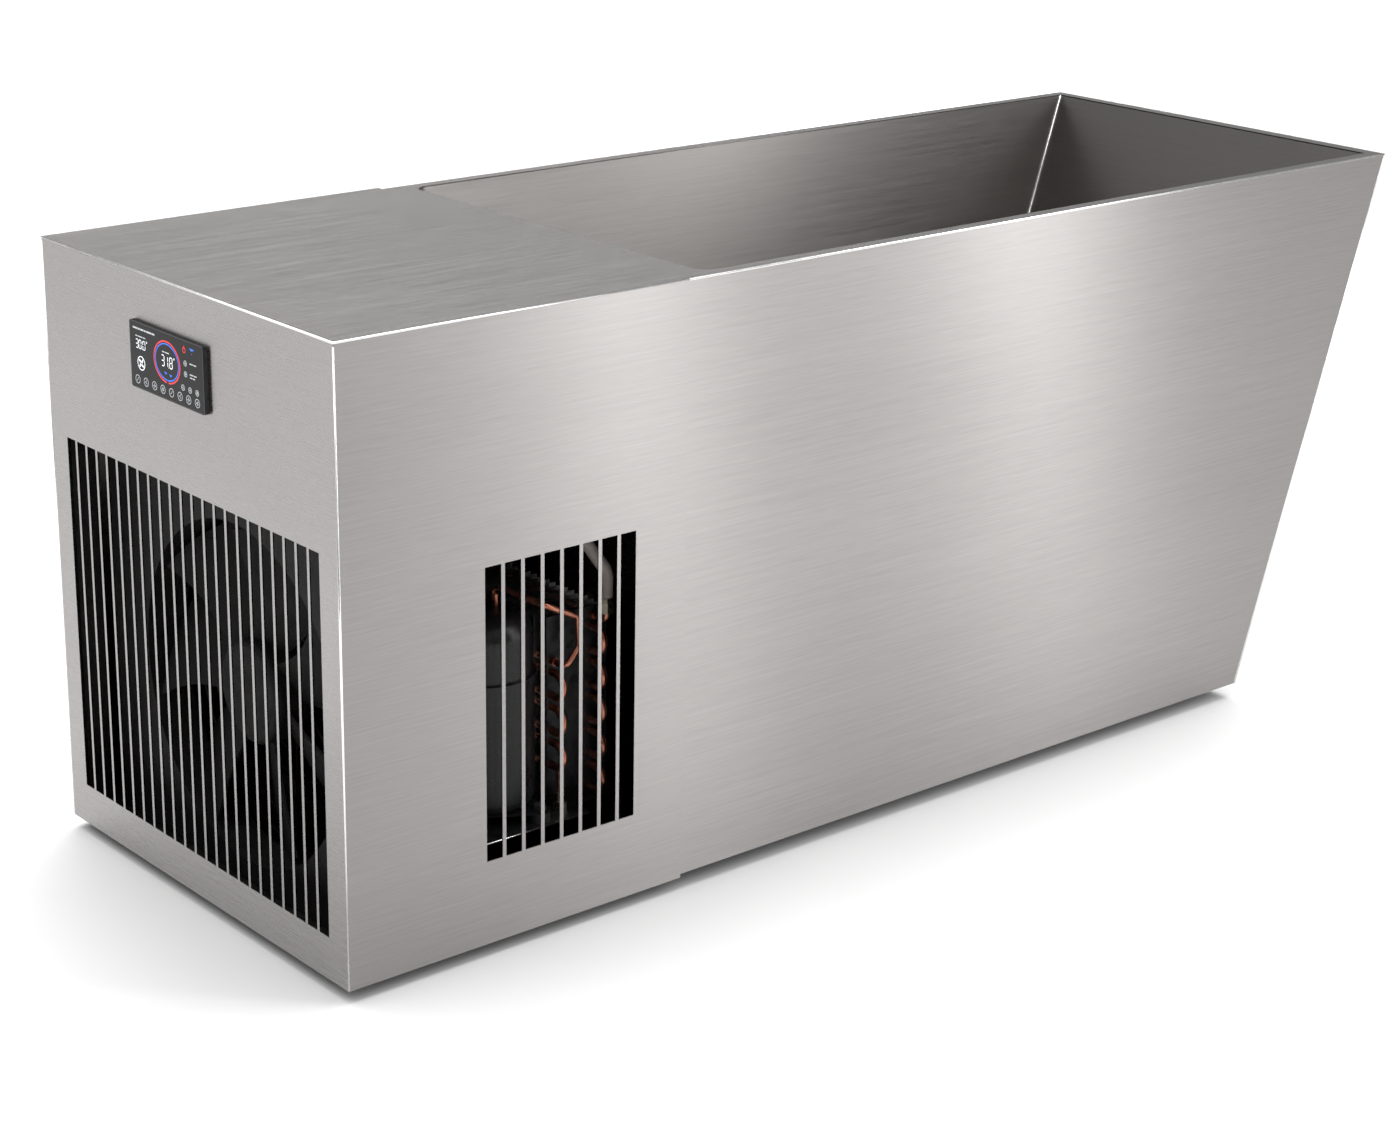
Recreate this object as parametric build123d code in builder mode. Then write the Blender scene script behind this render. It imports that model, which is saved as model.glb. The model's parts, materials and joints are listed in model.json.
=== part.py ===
from build123d import *
import math
import os

os.makedirs("parts", exist_ok=True)

# A free-standing chilled soaking tub: an insulated steel trough with one leaning end, and a machine
# cabinet at the other end that cools and filters its water. Millimetres. X runs from the cabinet
# towards the leaning end, Z is up, and the origin is on the floor under the middle of the whole.

# ---------------------------------------------------------------- overall sizes
LENGTH = 1705.0            # front of the display to the top of the leaning end
WIDTH = 600.0
HEIGHT = 735.0
CABINET_LENGTH = 465.0
END_LEAN = 230.0           # how far the foot of the leaning end stands in from its top
SKIRT_GAP = 15.0           # cabinet panels end this far above the floor
TUB_GAP = 19.0             # tub skins end this far above the floor
TUB_INSET = 1.0            # tub skins lie this far inside the cabinet's faces
SHEET = 1.5                # stainless sheet
RIM = 20.0                 # flat rim beside the opening
DECK_STRIP = 37.0          # flat strip between the cabinet and the opening
FLOOR_BUILD = 30.0         # tub floor, foam and underside together
OPENING_CORNER = 20.0      # rounded corners of the opening at the cabinet's side
HAIRLINE = 0.3             # gap between two panels that only lie side by side
EDGE_ROUND = 1.1           # softened outer edges of the sheet
FIT = 0.05                 # radial running fit of a shaft

# ---------------------------------------------------------------- display
DISPLAY_PROUD = 5.0
DISPLAY_WIDTH = 154.0
DISPLAY_HEIGHT = 76.0
DISPLAY_Y = 20.5
DISPLAY_Z = 642.0
DISPLAY_CORNER = 3.0
GLASS = 1.2
DISPLAY_BORDER = 1.2
HOUSING_DEPTH = 22.0
HOUSING_INSET = 7.0        # housing is this much smaller than the glass all round
BOARD = 1.6
BOARD_SET_BACK = 6.0
BOARD_GAP = 0.5
CHIP = (4.0, 14.0, 14.0)
CHIP_SPACING = 60.0

# ---------------------------------------------------------------- grilles
FRONT_MARGIN = 30.0        # least plain sheet beside the front slots
FRONT_PITCH = 23.15
FRONT_BAR = 4.5
FRONT_SLOT_LOW = 66.0
FRONT_SLOT_HIGH = 504.0
SIDE_SLOTS = 8
SIDE_PITCH = 26.6
SIDE_BAR = 5.0
SIDE_SLOT_LOW = 115.0
SIDE_SLOT_HIGH = 459.0
SIDE_GRILLE_FROM_FACE = 288.75   # middle of the side grille, behind the front face

# ---------------------------------------------------------------- cabinet frame
POST = 20.0
POST_WALL = 2.0
PAN = 2.0
PAN_LIFT = 17.0            # underside of the bottom pan above the floor
COVER_LIP = 12.0
COVER_LIP_GAP = 0.8
TRAY_TOP = 112.0
TRAY_SHEET = 2.0
TRAY_NEAR_GAP = 44.0       # from the cabinet's near side to the tray's near edge
TRAY_STEP_GAP = 74.0       # the same beside the coil
TRAY_FAR_GAP = 10.0
TRAY_FRONT = 147.0         # these two are behind the front face
TRAY_REAR = 436.0
TRAY_STEP_AT = 365.0

# ---------------------------------------------------------------- feet
FOOT_RADIUS = 25.0
FOOT_CUP_RADIUS = 21.0
FOOT_PAD = 10.0
FOOT_INSET = 55.0
CABINET_FEET = (45.0, 425.0)           # behind the front face
TUB_FEET = (560.0, 980.0, 1400.0)

# ---------------------------------------------------------------- fan
FAN_FROM_FACE = 60.0
FAN_Z = 250.0
FAN_RADIUS = 197.0
FAN_TIP_GAP = 8.0
FAN_HUB = 62.0
FAN_BLADES = 7
BLADE = 3.0
BLADE_PITCH = 24.0         # degrees
FAN_DEPTH = 44.0
FAN_SET_BACK = 10.0        # front of the blades behind the shroud plate
SHROUD_SIDE_GAP = 16.0
SHROUD_LOW = 21.0
SHROUD_HIGH = 540.0
SHROUD_RING = 52.0
MOTOR_RADIUS = 48.0
MOTOR_LENGTH = 46.0
MOTOR_SHAFT = 5.0
HUB_CAP = 10.0             # end wall of the hub
SHAFT_GRIP = 22.0          # how far a shaft runs into its motor
GUARD_WIRE = 1.8
GUARD_RINGS = 6
GUARD_SPOKES = 8

# ---------------------------------------------------------------- refrigeration
COMPRESSOR_FROM_FACE = 268.0
COMPRESSOR_FROM_NEAR = 120.0   # from the cabinet's near side
COMPRESSOR_RADIUS = 59.0
COMPRESSOR_SEAM = 285.0    # height of the welded seam
COMPRESSOR_TOP = 362.0
GROMMET = 12.0
ACCUMULATOR_FROM_FACE = 210.0
ACCUMULATOR_FROM_NEAR = 220.0
ACCUMULATOR_RADIUS = 24.0
ACCUMULATOR_Z = (170.0, 300.0)
LUG_CIRCLE = 70.0
LUG_RADIUS = 12.0
LUG_PLATE = 3.0
BOLT = 4.0
COIL_ROWS = (341.0, 399.0)             # tube rows, behind the front face
COIL_MARGINS = (7.0, 22.0)             # fins stand out this far before and behind the rows
COIL_NEAR_GAP = 87.0
COIL_FAR_GAP = 128.0
COIL_TUBE = 4.75
BEND_SPAN = 29.0
BEND_PITCH = 43.0
FRONT_ROW_LOW = 162.0
REAR_ROW_LOW = 119.0
ACCESS_STUB = 3.0
FRONT_ROW_BENDS = 3
REAR_ROW_BENDS = 5
FIN = 0.6
FIN_PITCH = 12.0
END_PLATE = 2.0
COPPER_THIN = 4.0
COPPER_THICK = 6.35
INSULATION = 7.5

# ---------------------------------------------------------------- water circuit
WATER_FROM_FACE = 265.0    # exchanger, filter and pump outlet stand on this line
EXCHANGER_Y = 30.0
EXCHANGER_RADIUS = 60.0
EXCHANGER_TOP = 420.0
FILTER_CLEARANCE = 15.0    # from the canister to the cabinet's far side
FILTER_RADIUS = 50.0
FILTER_LOW = 290.0
FILTER_HIGH = 540.0
FILTER_WALL = 4.0
PUMP_Z = 178.0
VOLUTE_RADIUS = 52.0
VOLUTE_DEPTH = 46.0
IMPELLER_RADIUS = 38.0
PUMP_MOTOR_RADIUS = 40.0
PUMP_MOTOR_LENGTH = 82.0
SPIGOT = 15.0
SPIGOT_BORE = 12.0
HOSE_WALL = 4.0
RETURN_Z = 385.0
FLANGE = 4.0
FLANGE_RADIUS = 24.0
FITTING_REACH = 40.0
STRAINER_WELL = 3.0        # hollow in the flange behind the strainer's holes
NUT_RADIUS = 25.0
NUT_THICKNESS = 10.0
PROBE_Y = -100.0
PROBE_Z = 300.0
CROSS_PORT_Z = 330.0

# ---------------------------------------------------------------- drain
DRAIN_Z = 88.0
DRAIN_TUBE = 16.0
DRAIN_BORE = 11.0
DRAIN_FLANGE = 30.0
VALVE_BODY = 21.0
BALL = 16.0
VALVE_FROM_WALL = 46.0
TAIL_RADIUS = 13.0
TAIL_COLLAR = 8.0
TAIL_LENGTH = 26.0
LEVER_LENGTH = 88.0

# ---------------------------------------------------------------- service recess
RECESS_FROM_FACE = (72.0, 142.0)
RECESS_Z = (130.0, 225.0)
RECESS_DEPTH = 34.0
INLET_Z = (145.0, 175.0)
SWITCH_Z = (186.0, 216.0)
ROCKER = (14.0, 8.0, 20.0)
ROCKER_TILT = 8.0

# ---------------------------------------------------------------- places worked out from the sizes
FACE = -LENGTH / 2 + DISPLAY_PROUD
JOINT = FACE + CABINET_LENGTH
TOP_END = LENGTH / 2
HALF = WIDTH / 2
TUB_HALF = HALF - TUB_INSET
TUB_TOP = HEIGHT - TUB_INSET
OPENING_HALF = TUB_HALF - RIM + TUB_INSET
OPENING_HEAD = JOINT + DECK_STRIP
LINER_FLOOR = TUB_GAP + FLOOR_BUILD
LEAN = END_LEAN / (TUB_TOP - TUB_GAP)
LEAN_ANGLE = math.atan(LEAN)
PANEL_TOP = HEIGHT - SHEET - HAIRLINE
WALL_TOP = TUB_TOP - SHEET
TRAY_NEAR = -HALF + TRAY_NEAR_GAP
TRAY_STEP = -HALF + TRAY_STEP_GAP
TRAY_FAR = HALF - TRAY_FAR_GAP
FRONT_SLOTS = int((WIDTH - 2 * FRONT_MARGIN) / FRONT_PITCH)
FOOT_Y = HALF - FOOT_INSET
COMPRESSOR_Y = -HALF + COMPRESSOR_FROM_NEAR
ACCUMULATOR_Y = -HALF + ACCUMULATOR_FROM_NEAR
COIL_NEAR = -HALF + COIL_NEAR_GAP
COIL_FAR = HALF - COIL_FAR_GAP
FILTER_Y = HALF - FILTER_RADIUS - FILTER_CLEARANCE
from_low = (Align.CENTER, Align.CENTER, Align.MIN)


def end_x(z, inset=0.0):
    """X of the leaning end at height z, a given distance in from its outer face."""
    return TOP_END - inset - (TUB_TOP - z) * LEAN


def block(x_span, y_span, z_span, mode=Mode.ADD):
    """A square block between two corners."""
    middle = [(low + high) / 2 for low, high in (x_span, y_span, z_span)]
    with Locations(tuple(middle)):
        Box(*[high - low for low, high in (x_span, y_span, z_span)], mode=mode)


def rod(start, direction, radius, length, mode=Mode.ADD):
    """A round bar that leaves a point in a given direction."""
    with Locations(Plane(origin=start, z_dir=direction).location):
        Cylinder(radius, length, align=from_low, mode=mode)


def bent_pipe(points, bend_radii, radius, bore=0.0):
    """A pipe along straight runs joined by bends, solid unless it has a bore."""
    with BuildLine() as route:
        FilletPolyline(*points, radius=bend_radii)
    with BuildPart() as pipe:
        with BuildSketch(Plane(origin=route.line @ 0, z_dir=route.line % 0)):
            Circle(radius)
            if bore:
                Circle(bore, mode=Mode.SUBTRACT)
        sweep(path=route.line)
    return pipe.part


def save(builder, name):
    """Labels a finished piece and writes its file."""
    builder.part.label = name
    export_step(builder.part, f"parts/{name}.step")


def side_plane(y):
    """Upright plane across Y, drawn with X to the right and Z up."""
    return Plane.XZ.offset(-y)


# ================================================================ cabinet casing
with BuildPart() as front_panel:
    with BuildSketch(Plane.YZ.offset(FACE)):
        with Locations((0, (SKIRT_GAP + PANEL_TOP) / 2)):
            Rectangle(WIDTH, PANEL_TOP - SKIRT_GAP)
        with Locations((0, (FRONT_SLOT_LOW + FRONT_SLOT_HIGH) / 2)):
            with GridLocations(FRONT_PITCH, 1, FRONT_SLOTS, 1):
                Rectangle(FRONT_PITCH - FRONT_BAR, FRONT_SLOT_HIGH - FRONT_SLOT_LOW, mode=Mode.SUBTRACT)
        with Locations((DISPLAY_Y, DISPLAY_Z)):
            Rectangle(DISPLAY_WIDTH - 2 * HOUSING_INSET + 1, DISPLAY_HEIGHT - 2 * HOUSING_INSET + 1,
                      mode=Mode.SUBTRACT)
    extrude(amount=SHEET)
    corners = front_panel.edges().filter_by(Axis.Z).group_by(Axis.X)[0]
    fillet([corners.sort_by(Axis.Y)[0], corners.sort_by(Axis.Y)[-1]], EDGE_ROUND)
save(front_panel, "front_panel")

with BuildPart() as near_side_panel:
    with BuildSketch(side_plane(-HALF)):
        with Locations(((FACE + SHEET + JOINT - HAIRLINE) / 2, (SKIRT_GAP + PANEL_TOP) / 2)):
            Rectangle(CABINET_LENGTH - SHEET - HAIRLINE, PANEL_TOP - SKIRT_GAP)
        with Locations((FACE + SIDE_GRILLE_FROM_FACE, (SIDE_SLOT_LOW + SIDE_SLOT_HIGH) / 2)):
            with GridLocations(SIDE_PITCH, 1, SIDE_SLOTS, 1):
                Rectangle(SIDE_PITCH - SIDE_BAR, SIDE_SLOT_HIGH - SIDE_SLOT_LOW, mode=Mode.SUBTRACT)
    extrude(amount=-SHEET)
save(near_side_panel, "near_side_panel")

recess_x = tuple(FACE + distance for distance in RECESS_FROM_FACE)
inlet_x = (recess_x[0] + 10, recess_x[1] - 10)
switch_x = (recess_x[0] + 25, recess_x[1] - 25)
with BuildPart() as far_side_panel:
    block((FACE + SHEET, JOINT - HAIRLINE), (HALF - SHEET, HALF), (SKIRT_GAP, PANEL_TOP))
    block(recess_x, (HALF - 2 * SHEET, HALF + SHEET), RECESS_Z, mode=Mode.SUBTRACT)
save(far_side_panel, "far_side_panel")

with BuildPart() as top_cover:
    block((FACE, JOINT - HAIRLINE), (-HALF, HALF), (HEIGHT - SHEET, HEIGHT))
    fillet(top_cover.faces().sort_by(Axis.Z)[-1].edges().sort_by(Axis.X)[:-1], EDGE_ROUND)
    lip_y = HALF - SHEET - COVER_LIP_GAP
    lip_x = (FACE + SHEET + POST + COVER_LIP_GAP, JOINT - POST - COVER_LIP_GAP)
    for side in (-1, 1):
        edge = sorted((side * lip_y, side * (lip_y - SHEET)))
        block(lip_x, edge, (HEIGHT - SHEET - COVER_LIP, HEIGHT - SHEET))
save(top_cover, "top_cover")

with BuildPart() as service_recess:
    back = HALF - SHEET - RECESS_DEPTH
    block((recess_x[0] - SHEET, recess_x[1] + SHEET), (back - SHEET, HALF - SHEET),
          (RECESS_Z[0] - SHEET, RECESS_Z[1] + SHEET))
    block(recess_x, (back, HALF), RECESS_Z, mode=Mode.SUBTRACT)
    for x_span, z_span in ((inlet_x, INLET_Z), (switch_x, SWITCH_Z)):
        block(x_span, (back - 2 * SHEET, back + 1), z_span, mode=Mode.SUBTRACT)
save(service_recess, "service_recess")

# ================================================================ cabinet frame
post_x = (FACE + SHEET, JOINT - POST - HAIRLINE)
rail_z = (PANEL_TOP - SHEET - POST, PANEL_TOP - SHEET)
with BuildPart() as cabinet_frame:
    for x, x_wall in zip(post_x, (post_x[0], post_x[1] + POST - POST_WALL)):
        for side in (-1, 1):
            outer = side * (HALF - SHEET)
            inner = side * (HALF - SHEET - POST)
            wall = side * (HALF - SHEET - POST_WALL)
            block((x, x + POST), sorted((outer, wall)), (PAN_LIFT + PAN, PANEL_TOP - SHEET))
            block((x_wall, x_wall + POST_WALL), sorted((outer, inner)), (PAN_LIFT + PAN, PANEL_TOP - SHEET))
    rail_half = HALF - SHEET - POST - HAIRLINE
    for x in (FACE + SHEET, JOINT - HAIRLINE - POST_WALL):
        block((x, x + POST_WALL), (-rail_half, rail_half), rail_z)
save(cabinet_frame, "cabinet_frame")

with BuildPart() as bottom_pan:
    block((FACE + SHEET, JOINT - HAIRLINE), (-HALF + SHEET, HALF - SHEET), (PAN_LIFT, PAN_LIFT + PAN))
save(bottom_pan, "bottom_pan")

with BuildPart() as equipment_tray:
    with BuildSketch(Plane.XY.offset(TRAY_TOP)):
        with BuildLine():
            Polyline((FACE + TRAY_FRONT, TRAY_NEAR), (FACE + TRAY_STEP_AT, TRAY_NEAR),
                     (FACE + TRAY_STEP_AT, TRAY_STEP), (FACE + TRAY_REAR, TRAY_STEP),
                     (FACE + TRAY_REAR, TRAY_FAR), (FACE + TRAY_FRONT, TRAY_FAR), close=True)
        make_face()
    extrude(amount=-TRAY_SHEET)
    for x, near in ((FACE + TRAY_FRONT, TRAY_NEAR), (FACE + TRAY_REAR - TRAY_SHEET, TRAY_STEP)):
        block((x, x + TRAY_SHEET), (near, TRAY_FAR), (PAN_LIFT + PAN, TRAY_TOP - TRAY_SHEET))
save(equipment_tray, "equipment_tray")

# ================================================================ tub skins, liner and foam


def leaning_outline(x_head, z_low, z_high, inset):
    """Side outline of the trough between two heights, a given distance inside its leaning end."""
    with BuildLine() as outline:
        Polyline((x_head, z_low), (end_x(z_low, inset), z_low), (end_x(z_high, inset), z_high),
                 (x_head, z_high), close=True)
    return outline.line


def leaning_slab(z_low, z_high, inset, thickness):
    """Side outline of a slab that lies along the leaning end."""
    with BuildLine() as outline:
        Polyline((end_x(z_low, inset), z_low), (end_x(z_high, inset), z_high),
                 (end_x(z_high, inset + thickness), z_high),
                 (end_x(z_low, inset + thickness), z_low), close=True)
    return outline.line


drain_plane = Plane(origin=(end_x(DRAIN_Z), 0, DRAIN_Z), x_dir=(0, 1, 0),
                    z_dir=(math.cos(LEAN_ANGLE), 0, -math.sin(LEAN_ANGLE)))
wall_normal = RIM * math.cos(LEAN_ANGLE)
suction_place = (FILTER_Y, PUMP_Z)
return_place = (EXCHANGER_Y, RETURN_Z)
probe_place = (PROBE_Y, PROBE_Z)
wall_holes = ((suction_place, SPIGOT), (return_place, SPIGOT), (probe_place, 6.0))


def drain_hole():
    """The drain's hole square through the leaning wall."""
    with Locations(drain_plane.location):
        Cylinder(DRAIN_TUBE + FIT, 6 * RIM, mode=Mode.SUBTRACT)


def head_holes():
    """The fittings' holes through the wall between the cabinet and the water."""
    for (y, z), radius in wall_holes:
        rod((JOINT - 2 * DECK_STRIP, y, z), (1, 0, 0), radius + FIT, 4 * DECK_STRIP, mode=Mode.SUBTRACT)


with BuildPart() as tub_side_skins:
    for y in (-TUB_HALF, TUB_HALF - SHEET):
        with BuildSketch(side_plane(y)) as side_outline:
            add(leaning_outline(JOINT, TUB_GAP, WALL_TOP, 0))
            make_face()
        extrude(side_outline.sketch, amount=-SHEET)
save(tub_side_skins, "tub_side_skins")

with BuildPart() as tub_end_skin:
    with BuildSketch(side_plane(-TUB_HALF + SHEET)):
        add(leaning_slab(TUB_GAP, WALL_TOP, 0, SHEET))
        make_face()
    extrude(amount=-2 * (TUB_HALF - SHEET))
    drain_hole()
save(tub_end_skin, "tub_end_skin")

with BuildPart() as tub_head_skin:
    block((JOINT, JOINT + SHEET), (-TUB_HALF + SHEET, TUB_HALF - SHEET), (TUB_GAP, WALL_TOP))
    head_holes()
save(tub_head_skin, "tub_head_skin")

with BuildPart() as tub_underside:
    with BuildSketch(side_plane(-TUB_HALF + SHEET)):
        add(leaning_outline(JOINT + SHEET, TUB_GAP, TUB_GAP + SHEET, SHEET))
        make_face()
    extrude(amount=-2 * (TUB_HALF - SHEET))
save(tub_underside, "tub_underside")

with BuildPart() as tub_rim:
    with BuildSketch(Plane.XY.offset(WALL_TOP)):
        with Locations(((JOINT + TOP_END) / 2, 0)):
            Rectangle(TOP_END - JOINT, 2 * TUB_HALF)
        with BuildLine():
            Polyline((OPENING_HEAD, -OPENING_HALF), (TOP_END - RIM, -OPENING_HALF),
                     (TOP_END - RIM, OPENING_HALF), (OPENING_HEAD, OPENING_HALF), close=True)
        make_face(mode=Mode.SUBTRACT)
    extrude(amount=SHEET)
    upright = tub_rim.edges().filter_by(Axis.Z)
    inner_corners = upright.filter_by_position(Axis.X, JOINT + 1, TOP_END - RIM - 1)
    fillet(inner_corners, OPENING_CORNER)
    rim_edges = tub_rim.faces().sort_by(Axis.Z)[-1].outer_wire().edges().sort_by(Axis.X)[1:]
    fillet(rim_edges, EDGE_ROUND)
save(tub_rim, "tub_rim")

side_wall_head = OPENING_HEAD + OPENING_CORNER
with BuildPart() as liner_side_walls:
    for y in (-OPENING_HALF - SHEET, OPENING_HALF):
        with BuildSketch(side_plane(y)) as wall_outline:
            add(leaning_outline(side_wall_head, LINER_FLOOR, WALL_TOP, RIM))
            make_face()
        extrude(wall_outline.sketch, amount=-SHEET)
save(liner_side_walls, "liner_side_walls")

with BuildPart() as liner_end_wall:
    with BuildSketch(side_plane(-OPENING_HALF - SHEET)):
        add(leaning_slab(LINER_FLOOR, WALL_TOP, RIM - SHEET, SHEET))
        make_face()
    extrude(amount=-2 * (OPENING_HALF + SHEET))
    drain_hole()
save(liner_end_wall, "liner_end_wall")

with BuildPart() as liner_head_wall:
    for outset, mode in ((SHEET, Mode.ADD), (0, Mode.SUBTRACT)):
        with BuildSketch(Plane.XY.offset(LINER_FLOOR)) as bent_outline:
            with Locations((OPENING_HEAD - outset, 0)):
                Rectangle(OPENING_CORNER + SHEET, 2 * (OPENING_HALF + outset),
                          align=(Align.MIN, Align.CENTER))
            fillet(bent_outline.vertices().group_by(Axis.X)[0], OPENING_CORNER + outset)
        extrude(bent_outline.sketch, amount=WALL_TOP - LINER_FLOOR, mode=mode)
    block((side_wall_head, side_wall_head + RIM), (-HALF, HALF), (0, HEIGHT), mode=Mode.SUBTRACT)
    head_holes()
save(liner_head_wall, "liner_head_wall")

with BuildPart() as liner_floor:
    with BuildSketch(side_plane(-OPENING_HALF - SHEET)):
        add(leaning_outline(OPENING_HEAD - SHEET, LINER_FLOOR - SHEET, LINER_FLOOR, RIM - SHEET))
        make_face()
    extrude(amount=-2 * (OPENING_HALF + SHEET))
save(liner_floor, "liner_floor")

with BuildPart() as insulation:
    foam_low = TUB_GAP + SHEET
    foam_inner, foam_outer = OPENING_HALF + SHEET, TUB_HALF - SHEET
    for y_low, y_high in ((-foam_outer, -foam_inner), (foam_inner, foam_outer)):
        with BuildSketch(side_plane(y_low)) as side_foam:
            add(leaning_outline(JOINT + SHEET, foam_low, WALL_TOP, SHEET))
            make_face()
        extrude(side_foam.sketch, amount=y_low - y_high)
    with BuildSketch(side_plane(-OPENING_HALF - SHEET)) as end_foam:
        add(leaning_slab(foam_low, WALL_TOP, SHEET, RIM - 2 * SHEET))
        make_face()
    extrude(end_foam.sketch, amount=-2 * (OPENING_HALF + SHEET))
    drain_hole()
    block((JOINT + SHEET, OPENING_HEAD - SHEET), (-foam_inner, foam_inner), (foam_low, WALL_TOP))
    with BuildSketch(side_plane(-OPENING_HALF - SHEET)) as floor_foam:
        add(leaning_outline(OPENING_HEAD - SHEET, foam_low, LINER_FLOOR - SHEET, RIM - SHEET))
        make_face()
    extrude(floor_foam.sketch, amount=-2 * (OPENING_HALF + SHEET))
    head_holes()
save(insulation, "insulation")

# ================================================================ feet
foot_places = [(FACE + distance, side * FOOT_Y, PAN_LIFT) for distance in CABINET_FEET for side in (-1, 1)]
foot_places += [(FACE + distance, side * FOOT_Y, TUB_GAP) for distance in TUB_FEET for side in (-1, 1)]

with BuildPart() as feet:
    for x, y, z_high in foot_places:
        rod((x, y, 0), (0, 0, 1), FOOT_RADIUS, FOOT_PAD)
        rod((x, y, FOOT_PAD), (0, 0, 1), FOOT_CUP_RADIUS, z_high - FOOT_PAD)
    fillet(feet.edges().filter_by(GeomType.CIRCLE).group_by(Axis.Z)[0], 1.5)
save(feet, "feet")

# ================================================================ display
display_face = FACE - DISPLAY_PROUD
housing_y = (DISPLAY_Y - DISPLAY_WIDTH / 2 + HOUSING_INSET, DISPLAY_Y + DISPLAY_WIDTH / 2 - HOUSING_INSET)
housing_z = (DISPLAY_Z - DISPLAY_HEIGHT / 2 + HOUSING_INSET, DISPLAY_Z + DISPLAY_HEIGHT / 2 - HOUSING_INSET)
HOUSING_WALL = 2.0
inner_y = (housing_y[0] + HOUSING_WALL, housing_y[1] - HOUSING_WALL)
inner_z = (housing_z[0] + HOUSING_WALL, housing_z[1] - HOUSING_WALL)


def glass_outline(margin):
    """Rounded outline of the display's face, a given margin inside its frame."""
    with Locations((DISPLAY_Y, DISPLAY_Z)):
        RectangleRounded(DISPLAY_WIDTH - 2 * margin, DISPLAY_HEIGHT - 2 * margin, DISPLAY_CORNER - margin)


with BuildPart() as display_housing:
    with BuildSketch(Plane.YZ.offset(display_face)):
        glass_outline(0)
    extrude(amount=DISPLAY_PROUD)
    block((FACE, FACE + HOUSING_DEPTH), housing_y, housing_z)
    with BuildSketch(Plane.YZ.offset(display_face)) as glass_seat:
        glass_outline(DISPLAY_BORDER)
    extrude(glass_seat.sketch, amount=GLASS, mode=Mode.SUBTRACT)
    block((display_face - 1, FACE + HOUSING_DEPTH - HOUSING_WALL), inner_y, inner_z, mode=Mode.SUBTRACT)
save(display_housing, "display_housing")

with BuildPart() as display_glass:
    with BuildSketch(Plane.YZ.offset(display_face)):
        glass_outline(DISPLAY_BORDER + FIT)
    extrude(amount=GLASS)
save(display_glass, "display_glass")

with BuildPart() as display_board:
    board_face = FACE + BOARD_SET_BACK
    board_y = (inner_y[0] + BOARD_GAP, inner_y[1] - BOARD_GAP)
    board_z = (inner_z[0] + BOARD_GAP, inner_z[1] - BOARD_GAP)
    block((board_face, board_face + BOARD), board_y, board_z)
    with Locations((board_face + BOARD + CHIP[0] / 2, DISPLAY_Y, DISPLAY_Z)):
        with GridLocations(1, CHIP_SPACING, 1, 2):
            Box(*CHIP)
save(display_board, "display_board")

# ================================================================ fan
fan_x = FACE + FAN_FROM_FACE
shroud_radius = FAN_RADIUS + FAN_TIP_GAP
fan_plane = Plane(origin=(fan_x, 0, FAN_Z), x_dir=(0, 1, 0), z_dir=(1, 0, 0))

with BuildPart() as fan_shroud:
    plate_half = HALF - SHROUD_SIDE_GAP
    block((fan_x, fan_x + SHEET), (-plate_half, plate_half), (SHROUD_LOW, SHROUD_HIGH))
    rod((fan_x, 0, FAN_Z), (1, 0, 0), shroud_radius + SHEET, SHROUD_RING)
    rod((fan_x - 1, 0, FAN_Z), (1, 0, 0), shroud_radius, SHROUD_RING + 2, mode=Mode.SUBTRACT)
save(fan_shroud, "fan_shroud")

motor_front = FAN_SET_BACK + HUB_CAP + 4
with BuildPart() as one_blade:
    with BuildSketch():
        with BuildLine():
            tip = CenterArc((0, 0), FAN_RADIUS, -19, 38)
            root = Line((FAN_HUB - 5, 24), (FAN_HUB - 5, -24))
            ThreePointArc(tip @ 1, (0.66 * FAN_RADIUS, 0.31 * FAN_RADIUS), root @ 0)
            ThreePointArc(root @ 1, (0.62 * FAN_RADIUS, -0.16 * FAN_RADIUS), tip @ 0)
        make_face()
    extrude(amount=BLADE / 2, both=True)

with BuildPart(fan_plane) as fan_blades:
    with Locations((0, 0, FAN_SET_BACK)):
        Cylinder(FAN_HUB, FAN_DEPTH, align=from_low)
    fillet(fan_blades.edges().filter_by(GeomType.CIRCLE).sort_by(Axis.X)[0], 8)
    with Locations((0, 0, FAN_SET_BACK + FAN_DEPTH / 2)):
        with PolarLocations(0, FAN_BLADES):
            add(one_blade.part, rotation=(BLADE_PITCH, 0, 0))
    with Locations((0, 0, FAN_SET_BACK + HUB_CAP)):
        Cylinder(MOTOR_RADIUS + 3, FAN_DEPTH, align=from_low, mode=Mode.SUBTRACT)
    with Locations((0, 0, FAN_SET_BACK + HUB_CAP / 2)):
        Cylinder(MOTOR_SHAFT, motor_front + SHAFT_GRIP - FAN_SET_BACK - HUB_CAP / 2, align=from_low)
save(fan_blades, "fan_blades")

with BuildPart(fan_plane) as fan_motor:
    with Locations((0, 0, motor_front)):
        Cylinder(MOTOR_RADIUS, MOTOR_LENGTH, align=from_low)
        Cylinder(MOTOR_SHAFT + FIT, 2 * (SHAFT_GRIP + 1), mode=Mode.SUBTRACT)
    fillet(fan_motor.edges().filter_by(GeomType.CIRCLE).sort_by(Axis.X)[-1], 5)
save(fan_motor, "fan_motor")

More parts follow.
